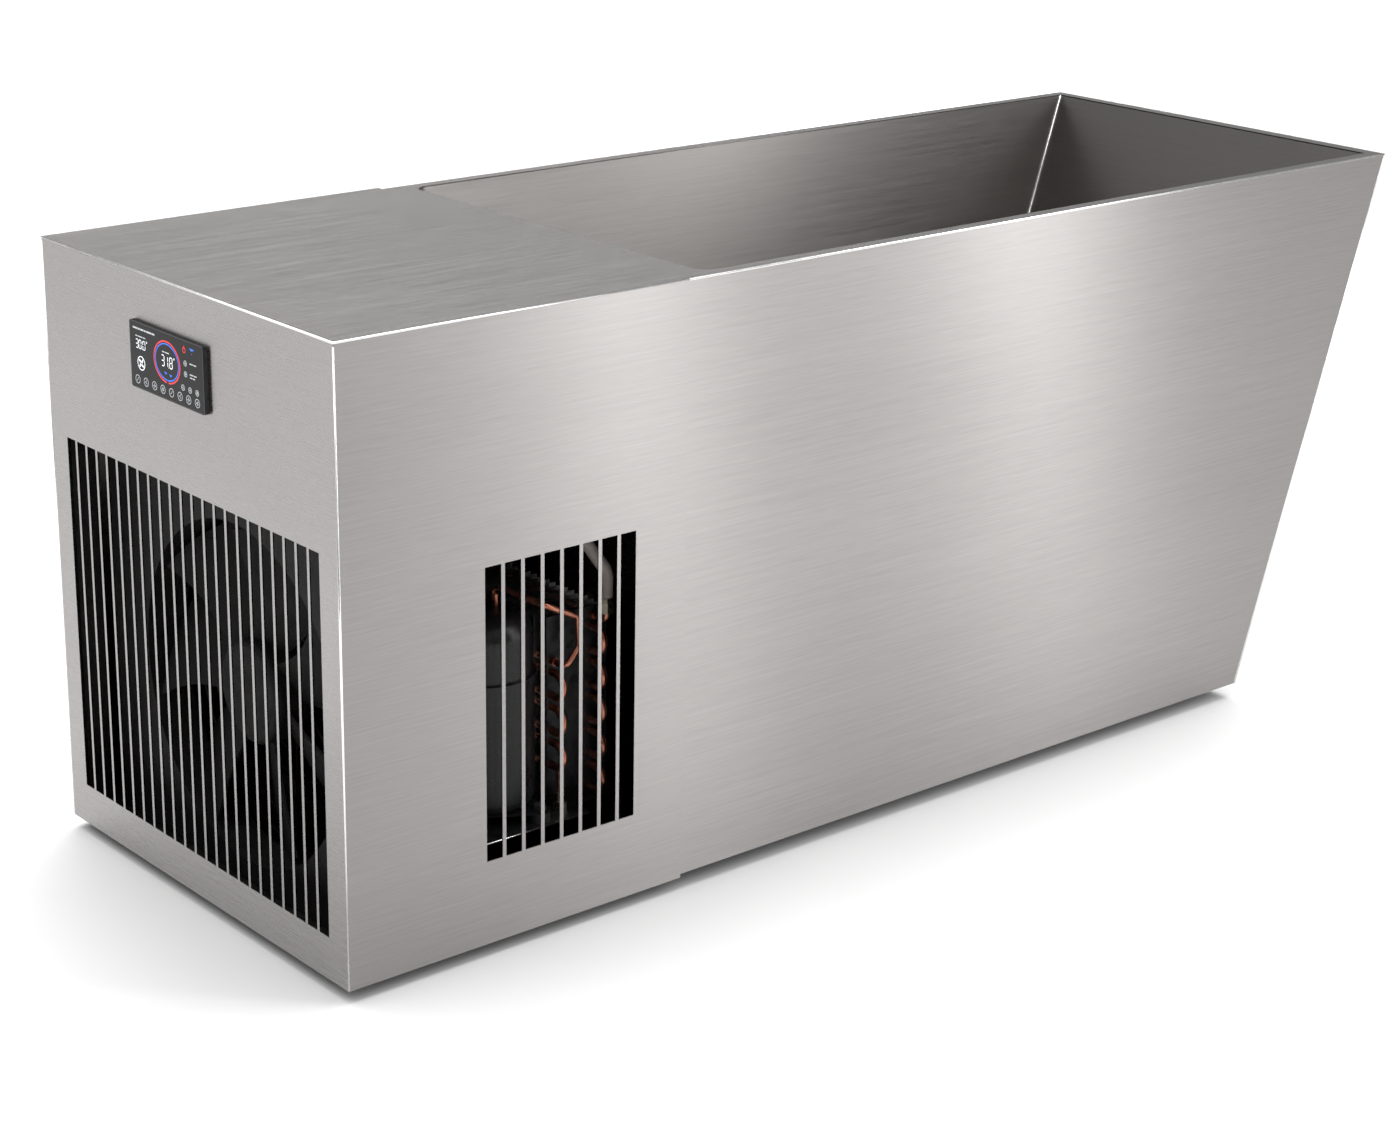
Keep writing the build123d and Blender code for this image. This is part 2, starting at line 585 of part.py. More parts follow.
guard_back = motor_front + MOTOR_LENGTH
spoke = 1.3 * GUARD_WIRE
guard_reach = shroud_radius + 6
guard_level = guard_back + spoke
with BuildPart(fan_plane) as fan_guard:
    with Locations((0, 0, guard_back)):
        Cylinder(MOTOR_RADIUS, 3, align=from_low)
    for ring in range(GUARD_RINGS):
        reach = MOTOR_RADIUS + 12 + ring * (guard_reach - MOTOR_RADIUS - 12) / (GUARD_RINGS - 1)
        with Locations((0, 0, guard_level)):
            Torus(reach, GUARD_WIRE)
    with Locations((0, 0, guard_level)):
        with PolarLocations((MOTOR_RADIUS + guard_reach) / 2 - 2, GUARD_SPOKES):
            Cylinder(spoke, guard_reach - MOTOR_RADIUS + 8, rotation=(0, 90, 0))
    with PolarLocations(guard_reach, 4, start_angle=45):
        Cylinder(spoke, guard_level - SHEET, align=from_low)
    with Locations((0, 0, -5)):
        Cylinder(2 * shroud_radius, 5 + SHEET, align=from_low, mode=Mode.SUBTRACT)
save(fan_guard, "fan_guard")

# ================================================================ compressor
compressor_x = FACE + COMPRESSOR_FROM_FACE
can_low = TRAY_TOP + GROMMET
lug_angles = (60, 180, 300)
lugs = [(compressor_x + LUG_CIRCLE * math.cos(math.radians(angle)),
         COMPRESSOR_Y + LUG_CIRCLE * math.sin(math.radians(angle))) for angle in lug_angles]

with BuildPart() as compressor_shell:
    rod((compressor_x, COMPRESSOR_Y, can_low + LUG_PLATE), (0, 0, 1), COMPRESSOR_RADIUS,
        COMPRESSOR_SEAM - can_low - LUG_PLATE)
    fillet(compressor_shell.edges().filter_by(GeomType.CIRCLE).sort_by(Axis.Z)[0], 14)
    rod((compressor_x, COMPRESSOR_Y, COMPRESSOR_SEAM - 2.5), (0, 0, 1), COMPRESSOR_RADIUS + 2.5, 5)
    rod((compressor_x, COMPRESSOR_Y, COMPRESSOR_SEAM), (0, 0, 1), COMPRESSOR_RADIUS - 2,
        COMPRESSOR_TOP - COMPRESSOR_SEAM)
    fillet(compressor_shell.edges().filter_by(GeomType.CIRCLE).sort_by(Axis.Z)[-1], 30)
    with BuildSketch(Plane.XY.offset(can_low)) as base_plate:
        with Locations((compressor_x, COMPRESSOR_Y)):
            Circle(COMPRESSOR_RADIUS - 14)
        with Locations(*lugs):
            Circle(LUG_RADIUS)
        make_hull()
        with Locations(*lugs):
            Circle(BOLT + FIT, mode=Mode.SUBTRACT)
    extrude(base_plate.sketch, amount=LUG_PLATE)
save(compressor_shell, "compressor_shell")

with BuildPart() as compressor_mounts:
    for x, y in lugs:
        rod((x, y, TRAY_TOP), (0, 0, 1), LUG_RADIUS, GROMMET)
        with BuildSketch(Plane.XY.offset(can_low + LUG_PLATE)) as head:
            with Locations((x, y)):
                RegularPolygon(7.5, 6)
        extrude(head.sketch, amount=5)
        rod((x, y, TRAY_TOP), (0, 0, 1), BOLT, GROMMET + LUG_PLATE)
save(compressor_mounts, "compressor_mounts")

with BuildPart() as terminal_cover:
    terminal_angle = math.radians(200)
    toward_terminals = (math.cos(terminal_angle), math.sin(terminal_angle), 0)
    cover_plane = Plane(origin=(compressor_x, COMPRESSOR_Y, 0), x_dir=toward_terminals)
    with BuildSketch(cover_plane.offset(200)):
        with Locations((COMPRESSOR_RADIUS + 9, 0)):
            RectangleRounded(24, 44, 5)
        Circle(COMPRESSOR_RADIUS + HAIRLINE, mode=Mode.SUBTRACT)
    extrude(amount=52)
save(terminal_cover, "terminal_cover")

accumulator = (FACE + ACCUMULATOR_FROM_FACE, ACCUMULATOR_Y)
with BuildPart() as suction_accumulator:
    rod((*accumulator, ACCUMULATOR_Z[0]), (0, 0, 1), ACCUMULATOR_RADIUS, ACCUMULATOR_Z[1] - ACCUMULATOR_Z[0])
    fillet(suction_accumulator.edges().filter_by(GeomType.CIRCLE), 12)
save(suction_accumulator, "suction_accumulator")

# ================================================================ finned coil
coil_x = (FACE + COIL_ROWS[0] - COIL_MARGINS[0], FACE + COIL_ROWS[1] + COIL_MARGINS[1])
coil_z = (TRAY_TOP, REAR_ROW_LOW + REAR_ROW_BENDS * BEND_PITCH + 10)
fin_count = int((COIL_FAR - COIL_NEAR - 2 * END_PLATE) / FIN_PITCH)
rows = ((FACE + COIL_ROWS[0], FRONT_ROW_LOW, FRONT_ROW_BENDS),
        (FACE + COIL_ROWS[1], REAR_ROW_LOW, REAR_ROW_BENDS))

with BuildPart() as coil_fins:
    first = (COIL_NEAR + COIL_FAR - (fin_count - 1) * FIN_PITCH) / 2
    for index in range(fin_count):
        y = first + index * FIN_PITCH
        block(coil_x, (y - FIN / 2, y + FIN / 2), (coil_z[0] + 2, coil_z[1] - 2))
save(coil_fins, "coil_fins")

with BuildPart() as coil_end_plates:
    for y in (COIL_NEAR, COIL_FAR - END_PLATE):
        block(coil_x, (y, y + END_PLATE), coil_z)
    for x, z_low, bends in rows:
        legs = [z_low + index * BEND_PITCH for index in range(bends + 1)]
        legs += [z_low + index * BEND_PITCH + BEND_SPAN for index in range(bends)]
        for z in legs:
            rod((x, COIL_NEAR - 1, z), (0, 1, 0), COIL_TUBE + FIT, COIL_FAR - COIL_NEAR + 2,
                mode=Mode.SUBTRACT)
save(coil_end_plates, "coil_end_plates")


coil_near_bend = COIL_NEAR - 8
coil_far_bend = COIL_FAR + 6


def serpentine(x, z_low, bends):
    """Centre line of one tube row, back and forth across the coil and upward, ending on the near side."""
    gap = BEND_PITCH - BEND_SPAN
    with BuildLine() as route:
        for index in range(bends):
            z = z_low + index * BEND_PITCH
            Line((x, coil_far_bend, z), (x, coil_near_bend, z))
            ThreePointArc((x, coil_near_bend, z), (x, coil_near_bend - BEND_SPAN / 2, z + BEND_SPAN / 2),
                          (x, coil_near_bend, z + BEND_SPAN))
            Line((x, coil_near_bend, z + BEND_SPAN), (x, coil_far_bend, z + BEND_SPAN))
            ThreePointArc((x, coil_far_bend, z + BEND_SPAN),
                          (x, coil_far_bend + gap / 2, z + BEND_SPAN + gap / 2),
                          (x, coil_far_bend, z + BEND_PITCH))
        z_top = z_low + bends * BEND_PITCH
        Line((x, coil_far_bend, z_top), (x, coil_near_bend, z_top))
    return route.line


front_start = (rows[0][0], coil_far_bend, FRONT_ROW_LOW)
rear_start = (rows[1][0], coil_far_bend, REAR_ROW_LOW)
row_distance = math.dist(front_start, rear_start)
crossover_top = ((rows[0][0] + rows[1][0]) / 2, coil_far_bend + row_distance / 2,
                 (FRONT_ROW_LOW + REAR_ROW_LOW) / 2)
stub_y = coil_near_bend - BEND_SPAN / 4
stub_top = FRONT_ROW_LOW + BEND_SPAN / 2 - BEND_SPAN / 2 * math.cos(math.asin(0.5)) - COIL_TUBE / 2
VALVE_HEIGHT = 22.0

with BuildPart() as coil_tubes:
    for x, z_low, bends in rows:
        path = serpentine(x, z_low, bends)
        with BuildSketch(Plane(origin=path @ 0, z_dir=path % 0)) as tube_section:
            Circle(COIL_TUBE)
        sweep(tube_section.sketch, path=path)
    with BuildLine() as crossover:
        ThreePointArc(front_start, crossover_top, rear_start)
    with BuildSketch(Plane(origin=front_start, z_dir=(0, 1, 0))) as crossover_section:
        Circle(COIL_TUBE)
    sweep(crossover_section.sketch, path=crossover.line)
    stub_low = TRAY_TOP + VALVE_HEIGHT
    rod((rows[0][0], stub_y, stub_low), (0, 0, 1), ACCESS_STUB, stub_top - stub_low)
save(coil_tubes, "coil_tubes")

# ================================================================ water circuit
water_x = FACE + WATER_FROM_FACE
exchanger_foot = TRAY_TOP
port_reach = 14.0
EXCHANGER_WALL = 5.0
EXCHANGER_END = 8.0            # end walls of the barrel
BAND_PROUD = 4.0               # two raised bands around the barrel
BAND_HEIGHT = 20.0
CARTRIDGE_RADIUS = 38.0
CARTRIDGE_BORE = 14.0
PLEATS = 24
CAP_WALL = 7.0
CAP_HEIGHT = 44.0
CAP_LAP = 22.0                 # how far the cap reaches down over the canister
CAP_RIBS = 18
PUMP_INLET = 30.0              # spigots on the volute, from its faces
PUMP_OUTLET = 20.0
VOLUTE_WALL = 5.0
VANES = 6

with BuildPart() as exchanger_barrel:
    rod((water_x, EXCHANGER_Y, exchanger_foot), (0, 0, 1), EXCHANGER_RADIUS, EXCHANGER_TOP - exchanger_foot)
    fillet(exchanger_barrel.edges().filter_by(GeomType.CIRCLE).sort_by(Axis.Z)[-1], 12)
    for level in (exchanger_foot + 14, EXCHANGER_TOP - 34):
        rod((water_x, EXCHANGER_Y, level), (0, 0, 1), EXCHANGER_RADIUS + BAND_PROUD, BAND_HEIGHT)
    rod((water_x, EXCHANGER_Y, exchanger_foot + EXCHANGER_END), (0, 0, 1),
        EXCHANGER_RADIUS - EXCHANGER_WALL, EXCHANGER_TOP - exchanger_foot - 2 * EXCHANGER_END,
        mode=Mode.SUBTRACT)
    ports = (((water_x, EXCHANGER_Y, CROSS_PORT_Z), (0, 1, 0)),
             ((water_x, EXCHANGER_Y, RETURN_Z), (1, 0, 0)))
    for start, direction in ports:
        away = Vector(*direction) * (EXCHANGER_RADIUS - 3)
        rod(Vector(*start) + away, direction, SPIGOT, port_reach + 3)
        rod(Vector(*start) + away * 0.8, direction, SPIGOT_BORE, 2 * port_reach + 20, mode=Mode.SUBTRACT)
    for offset_y in (-22, 22):
        rod((water_x, EXCHANGER_Y + offset_y, EXCHANGER_TOP - 15), (0, 0, 1), COPPER_THICK + FIT, 20,
            mode=Mode.SUBTRACT)
save(exchanger_barrel, "exchanger_barrel")

with BuildPart() as exchanger_coil:
    with BuildLine() as helix_route:
        Helix(pitch=18, height=180, radius=38, center=(water_x, EXCHANGER_Y, 140))
    with BuildSketch(Plane(origin=helix_route.line @ 0, z_dir=helix_route.line % 0)):
        Circle(COPPER_THICK)
    sweep(path=helix_route.line, is_frenet=True)
save(exchanger_coil, "exchanger_coil")

with BuildPart() as filter_canister:
    rod((water_x, FILTER_Y, FILTER_LOW), (0, 0, 1), FILTER_RADIUS, FILTER_HIGH - FILTER_LOW)
    fillet(filter_canister.edges().filter_by(GeomType.CIRCLE).sort_by(Axis.Z)[0], 8)
    rod((water_x, FILTER_Y, FILTER_LOW + FILTER_WALL), (0, 0, 1), FILTER_RADIUS - FILTER_WALL, FILTER_HIGH,
        mode=Mode.SUBTRACT)
    rod((water_x, FILTER_Y, FILTER_LOW - port_reach), (0, 0, 1), SPIGOT, port_reach + 2)
    rod((water_x, FILTER_Y, FILTER_LOW - port_reach - 1), (0, 0, 1), SPIGOT_BORE, port_reach + 10,
        mode=Mode.SUBTRACT)
    rod((water_x, FILTER_Y - FILTER_RADIUS + 3, CROSS_PORT_Z), (0, -1, 0), SPIGOT, port_reach + 3)
    rod((water_x, FILTER_Y - FILTER_RADIUS + 10, CROSS_PORT_Z), (0, -1, 0), SPIGOT_BORE, 2 * port_reach + 10,
        mode=Mode.SUBTRACT)
save(filter_canister, "filter_canister")

with BuildPart() as filter_cartridge:
    with BuildSketch(Plane.XY.offset(FILTER_LOW + 70)):
        with Locations((water_x, FILTER_Y)):
            Circle(CARTRIDGE_RADIUS - 4)
            with PolarLocations(CARTRIDGE_RADIUS - 4, PLEATS):
                Rectangle(7, 3)
            Circle(CARTRIDGE_BORE, mode=Mode.SUBTRACT)
    extrude(amount=FILTER_HIGH - FILTER_LOW - 90)
save(filter_cartridge, "filter_cartridge")

with BuildPart() as filter_cap:
    cap_low = FILTER_HIGH - CAP_LAP
    rod((water_x, FILTER_Y, cap_low), (0, 0, 1), FILTER_RADIUS + CAP_WALL, CAP_HEIGHT)
    rod((water_x, FILTER_Y, cap_low - 1), (0, 0, 1), FILTER_RADIUS + HAIRLINE, CAP_LAP + 1 + HAIRLINE,
        mode=Mode.SUBTRACT)
    fillet(filter_cap.edges().filter_by(GeomType.CIRCLE).sort_by(Axis.Z)[-1], 5)
    with Locations((water_x, FILTER_Y, cap_low + 14)):
        with PolarLocations(FILTER_RADIUS + CAP_WALL + 1, CAP_RIBS):
            Box(4, 6, 28)
    with Locations((water_x, FILTER_Y, cap_low + CAP_HEIGHT + 6)):
        Box(78, 14, 16)
save(filter_cap, "filter_cap")

volute_x = water_x - VOLUTE_DEPTH / 2
with BuildPart() as pump_volute:
    rod((volute_x, FILTER_Y, PUMP_Z), (1, 0, 0), VOLUTE_RADIUS, VOLUTE_DEPTH)
    fillet(pump_volute.edges().filter_by(GeomType.CIRCLE), 6)
    rod((volute_x + VOLUTE_DEPTH - 3, FILTER_Y, PUMP_Z), (1, 0, 0), SPIGOT, PUMP_INLET + 3)
    rod((water_x, FILTER_Y, PUMP_Z + VOLUTE_RADIUS - 4), (0, 0, 1), SPIGOT, PUMP_OUTLET + 4)
    rod((volute_x + VOLUTE_WALL, FILTER_Y, PUMP_Z), (1, 0, 0), IMPELLER_RADIUS + 6,
        VOLUTE_DEPTH - 2 * VOLUTE_WALL, mode=Mode.SUBTRACT)
    rod((volute_x + 20, FILTER_Y, PUMP_Z), (1, 0, 0), SPIGOT_BORE, 100, mode=Mode.SUBTRACT)
    rod((water_x, FILTER_Y, PUMP_Z + 20), (0, 0, 1), SPIGOT_BORE, 80, mode=Mode.SUBTRACT)
    rod((volute_x - 1, FILTER_Y, PUMP_Z), (1, 0, 0), MOTOR_SHAFT + FIT, 10, mode=Mode.SUBTRACT)
save(pump_volute, "pump_volute")

with BuildPart() as pump_motor:
    motor_start = volute_x - PUMP_MOTOR_LENGTH
    rod((motor_start, FILTER_Y, PUMP_Z), (1, 0, 0), PUMP_MOTOR_RADIUS, PUMP_MOTOR_LENGTH)
    fillet(pump_motor.edges().filter_by(GeomType.CIRCLE).sort_by(Axis.X)[0], 8)
    block((motor_start + 14, volute_x - 10), (FILTER_Y - 30, FILTER_Y + 30), (TRAY_TOP, PUMP_Z - 25))
    rod((volute_x - 30, FILTER_Y, PUMP_Z), (1, 0, 0), MOTOR_SHAFT + FIT, 40, mode=Mode.SUBTRACT)
save(pump_motor, "pump_motor")

with BuildPart() as pump_impeller:
    rod((volute_x - 28, FILTER_Y, PUMP_Z), (1, 0, 0), MOTOR_SHAFT, 40)
    rod((volute_x + 8, FILTER_Y, PUMP_Z), (1, 0, 0), IMPELLER_RADIUS, 5)
    vane_plane = Plane(origin=(volute_x + 16, FILTER_Y, PUMP_Z), x_dir=(0, 1, 0), z_dir=(1, 0, 0))
    with Locations(vane_plane.location):
        with PolarLocations(IMPELLER_RADIUS * 0.6, VANES):
            Box(26, 3, 8, rotation=(0, 0, 25))
save(pump_impeller, "pump_impeller")

fitting_places = (suction_place, return_place)
valve_half = 26.0
STRAINER_RINGS = ((17.0, 12), (9.0, 6))     # circle radius and number of holes
STRAINER_HOLE = 3.0
flange_back = -wall_normal - FLANGE
with BuildPart() as wall_fittings:
    for y, z in fitting_places:
        rod((OPENING_HEAD, y, z), (1, 0, 0), FLANGE_RADIUS, FLANGE)
        rod((JOINT - FITTING_REACH, y, z), (1, 0, 0), SPIGOT, DECK_STRIP + FITTING_REACH)
        rod((JOINT - FITTING_REACH - 1, y, z), (1, 0, 0), SPIGOT_BORE, 3 * DECK_STRIP, mode=Mode.SUBTRACT)
    with Locations(drain_plane.location * Pos(0, 0, flange_back)):
        Cylinder(DRAIN_FLANGE, FLANGE, align=from_low)
        Cylinder(DRAIN_TUBE, VALVE_FROM_WALL - valve_half - flange_back, align=from_low)
        Cylinder(DRAIN_BORE, 8 * RIM, mode=Mode.SUBTRACT)
    strainer_x = OPENING_HEAD + FLANGE
    rod((strainer_x - STRAINER_WELL, *suction_place), (1, 0, 0), FLANGE_RADIUS - 3, 2 * FLANGE,
        mode=Mode.SUBTRACT)
    with BuildSketch(Plane.YZ.offset(strainer_x)) as strainer:
        with Locations(suction_place):
            Circle(FLANGE_RADIUS)
            for circle, holes in STRAINER_RINGS:
                with PolarLocations(circle, holes):
                    Circle(STRAINER_HOLE, mode=Mode.SUBTRACT)
    extrude(strainer.sketch, amount=3)
save(wall_fittings, "wall_fittings")

with BuildPart() as fitting_nuts:
    for y, z in fitting_places:
        with BuildSketch(Plane.YZ.offset(JOINT)) as nut:
            with Locations((y, z)):
                RegularPolygon(NUT_RADIUS, 6)
                Circle(SPIGOT + FIT, mode=Mode.SUBTRACT)
        extrude(nut.sketch, amount=-NUT_THICKNESS)
    with BuildSketch(drain_plane) as drain_nut:
        RegularPolygon(NUT_RADIUS, 6)
        Circle(DRAIN_TUBE + FIT, mode=Mode.SUBTRACT)
    extrude(drain_nut.sketch, amount=NUT_THICKNESS)
save(fitting_nuts, "fitting_nuts")

with BuildPart() as temperature_probe:
    rod((JOINT - 30, PROBE_Y, PROBE_Z), (1, 0, 0), 6, DECK_STRIP + 30)
    rod((OPENING_HEAD, PROBE_Y, PROBE_Z), (1, 0, 0), 10, 3)
    rod((JOINT - 8, PROBE_Y, PROBE_Z), (1, 0, 0), 11, 8)
save(temperature_probe, "temperature_probe")

HOSE_LAP = 10.0
fitting_end = JOINT - FITTING_REACH + HOSE_LAP
hose_runs = (
    ((volute_x + VOLUTE_DEPTH + PUMP_INLET - HOSE_LAP, FILTER_Y, PUMP_Z), (fitting_end, FILTER_Y, PUMP_Z)),
    ((water_x, FILTER_Y, PUMP_Z + VOLUTE_RADIUS + PUMP_OUTLET - HOSE_LAP),
     (water_x, FILTER_Y, FILTER_LOW - port_reach + HOSE_LAP)),
    ((water_x, EXCHANGER_Y + EXCHANGER_RADIUS + port_reach - HOSE_LAP, CROSS_PORT_Z),
     (water_x, FILTER_Y - FILTER_RADIUS - port_reach + HOSE_LAP, CROSS_PORT_Z)),
    ((water_x + EXCHANGER_RADIUS + port_reach - HOSE_LAP, EXCHANGER_Y, RETURN_Z),
     (fitting_end, EXCHANGER_Y, RETURN_Z)),
)
with BuildPart() as water_hoses:
    for start, end in hose_runs:
        run = Vector(*end) - Vector(*start)
        rod(start, run, SPIGOT + HOSE_WALL, run.length)
        rod(start, run, SPIGOT + FIT, run.length, mode=Mode.SUBTRACT)
save(water_hoses, "water_hoses")

CLAMP_WIDTH = 8.0
with BuildPart() as hose_clamps:
    for start, end in hose_runs:
        run = Vector(*end) - Vector(*start)
        for distance in (1.5, run.length - CLAMP_WIDTH - 1.5):
            place = Vector(*start) + run.normalized() * distance
            rod(place, run, SPIGOT + HOSE_WALL + 1.2, CLAMP_WIDTH)
            rod(place, run, SPIGOT + HOSE_WALL + FIT, CLAMP_WIDTH, mode=Mode.SUBTRACT)
save(hose_clamps, "hose_clamps")

# ================================================================ refrigerant pipes
row_x = [row[0] for row in rows]
pipe_lane = coil_near_bend - 19
front_inlet = FRONT_ROW_LOW + FRONT_ROW_BENDS * BEND_PITCH
rear_outlet = REAR_ROW_LOW + REAR_ROW_BENDS * BEND_PITCH
liquid_port = (water_x, EXCHANGER_Y - 22)
suction_port = (water_x, EXCHANGER_Y + 22)
LIQUID_LEVEL = 478.0
SUCTION_LEVEL = 468.0
NUT_HEIGHT = 19.0
DRIER_LENGTH = 62.0
INJECTOR_HEIGHT = 34.0

with BuildPart() as discharge_pipe:
    rise_x = compressor_x + 14
    rise_y = COMPRESSOR_Y - 6
    add(bent_pipe([(rise_x, rise_y, COMPRESSOR_TOP), (rise_x, rise_y, COMPRESSOR_TOP + 24),
                   (rise_x + 28, pipe_lane, COMPRESSOR_TOP + 10),
                   (row_x[0] + 17, pipe_lane, COMPRESSOR_TOP - 14),
                   (row_x[0] + 19, pipe_lane, front_inlet + 22), (row_x[0], pipe_lane, front_inlet),
                   (row_x[0], coil_near_bend, front_inlet)],
                  8, COPPER_THIN))
save(discharge_pipe, "discharge_pipe")

drier_start = EXCHANGER_Y - 122
liquid_route = [(row_x[1], coil_near_bend, rear_outlet), (row_x[1], pipe_lane, rear_outlet),
                (row_x[1], pipe_lane, rear_outlet + 60), (row_x[1] - 30, pipe_lane + 4, rear_outlet + 102),
                (row_x[1] - 88, pipe_lane + 52, LIQUID_LEVEL), (water_x, drier_start - 24, LIQUID_LEVEL),
                (water_x, drier_start, LIQUID_LEVEL)]
liquid_bends = [8, 30, 30, 20, 14]
injector_top = EXCHANGER_TOP + INJECTOR_HEIGHT
with BuildPart() as liquid_pipe:
    add(bent_pipe(liquid_route, liquid_bends, COPPER_THIN))
    add(bent_pipe([(water_x, drier_start + DRIER_LENGTH, LIQUID_LEVEL),
                   (water_x, liquid_port[1], LIQUID_LEVEL),
                   (water_x, liquid_port[1], injector_top)], 14, COPPER_THIN))
save(liquid_pipe, "liquid_pipe")

nut_low = rear_outlet + 10
with BuildPart() as pipe_insulation:
    insulated = [(row_x[1], pipe_lane, nut_low + NUT_HEIGHT)] + liquid_route[2:]
    add(bent_pipe(insulated, liquid_bends[1:], INSULATION, COPPER_THIN + FIT))
save(pipe_insulation, "pipe_insulation")

with BuildPart() as filter_drier:
    rod((water_x, drier_start, LIQUID_LEVEL), (0, 1, 0), 13, DRIER_LENGTH)
    fillet(filter_drier.edges().filter_by(GeomType.CIRCLE), 6)
save(filter_drier, "filter_drier")

with BuildPart() as pipe_valves:
    with BuildSketch(Plane.XY.offset(nut_low)) as flare_nut:
        with Locations((row_x[1], pipe_lane)):
            RegularPolygon(9, 6)
            Circle(COPPER_THIN + FIT, mode=Mode.SUBTRACT)
    extrude(flare_nut.sketch, amount=NUT_HEIGHT)
    block((water_x - 10, water_x + 10), (liquid_port[1] - 10, liquid_port[1] + 10),
          (EXCHANGER_TOP, injector_top - 8))
    rod((*liquid_port, EXCHANGER_TOP - 14), (0, 0, 1), COPPER_THICK, INJECTOR_HEIGHT + 14)
    with BuildSketch(Plane.XY.offset(TRAY_TOP)) as access_hex:
        with Locations((row_x[0], stub_y)):
            RegularPolygon(9, 6)
    extrude(access_hex.sketch, amount=VALVE_HEIGHT / 2)
    rod((row_x[0], stub_y, TRAY_TOP), (0, 0, 1), 6, VALVE_HEIGHT)
save(pipe_valves, "pipe_valves")

with BuildPart() as suction_pipe:
    add(bent_pipe([(*suction_port, EXCHANGER_TOP - 14), (*suction_port, SUCTION_LEVEL),
                   (*accumulator, SUCTION_LEVEL), (*accumulator, ACCUMULATOR_Z[1])], 24, COPPER_THICK))
    toward = Vector(compressor_x - accumulator[0], COMPRESSOR_Y - accumulator[1], 0).normalized()
    shell_axis = Vector(compressor_x, COMPRESSOR_Y, ACCUMULATOR_Z[0] - 22)
    shell_point = shell_axis - toward * (COMPRESSOR_RADIUS + HAIRLINE)
    add(bent_pipe([(*accumulator, ACCUMULATOR_Z[0]), (*accumulator, ACCUMULATOR_Z[0] - 22),
                   tuple(shell_point)], 14, COPPER_THICK))
save(suction_pipe, "suction_pipe")

# ================================================================ electrics
BOX_DEPTH = 78.0
BOX_FROM_NEAR = 70.0
BOX_WIDTH = 200.0
BOX_Y = (-HALF + BOX_FROM_NEAR, -HALF + BOX_FROM_NEAR + BOX_WIDTH)
# from the box's near lower corner: right, up, width, height and depth of three relays, a coil and a plug
BOARD_PARTS = ((30, 38, 30, 40, 26), (70, 38, 30, 40, 26), (110, 38, 30, 40, 26), (50, 128, 60, 40, 34),
               (145, 128, 40, 50, 20))
BOX_Z = (522.0, 700.0)
box_x = (JOINT - HAIRLINE - BOX_DEPTH, JOINT)
with BuildPart() as control_box:
    block(box_x, BOX_Y, BOX_Z)
    block((box_x[0] - 1, box_x[1] - SHEET), (BOX_Y[0] + SHEET, BOX_Y[1] - SHEET),
          (BOX_Z[0] + SHEET, BOX_Z[1] - SHEET), mode=Mode.SUBTRACT)
save(control_box, "control_box")

with BuildPart() as control_box_lid:
    block((box_x[0] - SHEET, box_x[0]), (BOX_Y[0] - 2, BOX_Y[1] + 2), (BOX_Z[0] - 2, BOX_Z[1] + 2))
save(control_box_lid, "control_box_lid")

with BuildPart() as control_board:
    board_x = box_x[1] - 14
    block((board_x, board_x + BOARD), (BOX_Y[0] + 12, BOX_Y[1] - 12), (BOX_Z[0] + 12, BOX_Z[1] - 12))
    for right, up, width, height, depth in BOARD_PARTS:
        y, z = BOX_Y[0] + right, BOX_Z[0] + up
        block((board_x - depth, board_x), (y - width / 2, y + width / 2), (z - height / 2, z + height / 2))
save(control_board, "control_board")

recess_back = HALF - SHEET - RECESS_DEPTH
switch_middle = ((switch_x[0] + switch_x[1]) / 2, recess_back - 2, (SWITCH_Z[0] + SWITCH_Z[1]) / 2)
PLATE = 3.0
INLET_WELL = 18.0
PIN_SET_BACK = 5.0
with BuildPart() as power_module:
    for x_span, z_span, depth in ((inlet_x, INLET_Z, 30), (switch_x, SWITCH_Z, 22)):
        block((x_span[0] + FIT, x_span[1] - FIT), (recess_back - depth, recess_back),
              (z_span[0] + FIT, z_span[1] - FIT))
    block((inlet_x[0] - PLATE, inlet_x[1] + PLATE), (recess_back, recess_back + PLATE),
          (INLET_Z[0] - PLATE, SWITCH_Z[1] + PLATE))
    block((inlet_x[0] + 13, inlet_x[1] - 13), (recess_back - INLET_WELL, recess_back + 4),
          (INLET_Z[0] + 7, INLET_Z[1] - 7), mode=Mode.SUBTRACT)
    with Locations(switch_middle):
        Box(ROCKER[0] + 1, 2 * ROCKER[1] + 4, ROCKER[2] + 3, mode=Mode.SUBTRACT)
    pin_x = (inlet_x[0] + inlet_x[1]) / 2
    pin_z = (INLET_Z[0] + INLET_Z[1]) / 2
    for shift, lift in ((-7, -2), (0, 2), (7, -2)):
        block((pin_x + shift - 1, pin_x + shift + 1), (recess_back - INLET_WELL, recess_back - PIN_SET_BACK),
              (pin_z + lift - 2, pin_z + lift + 2))
save(power_module, "power_module")

with BuildPart() as switch_rocker:
    with Locations(switch_middle):
        Box(*ROCKER, rotation=(-ROCKER_TILT, 0, 0))
save(switch_rocker, "switch_rocker")

# ================================================================ drain
valve_middle = (0, 0, VALVE_FROM_WALL)

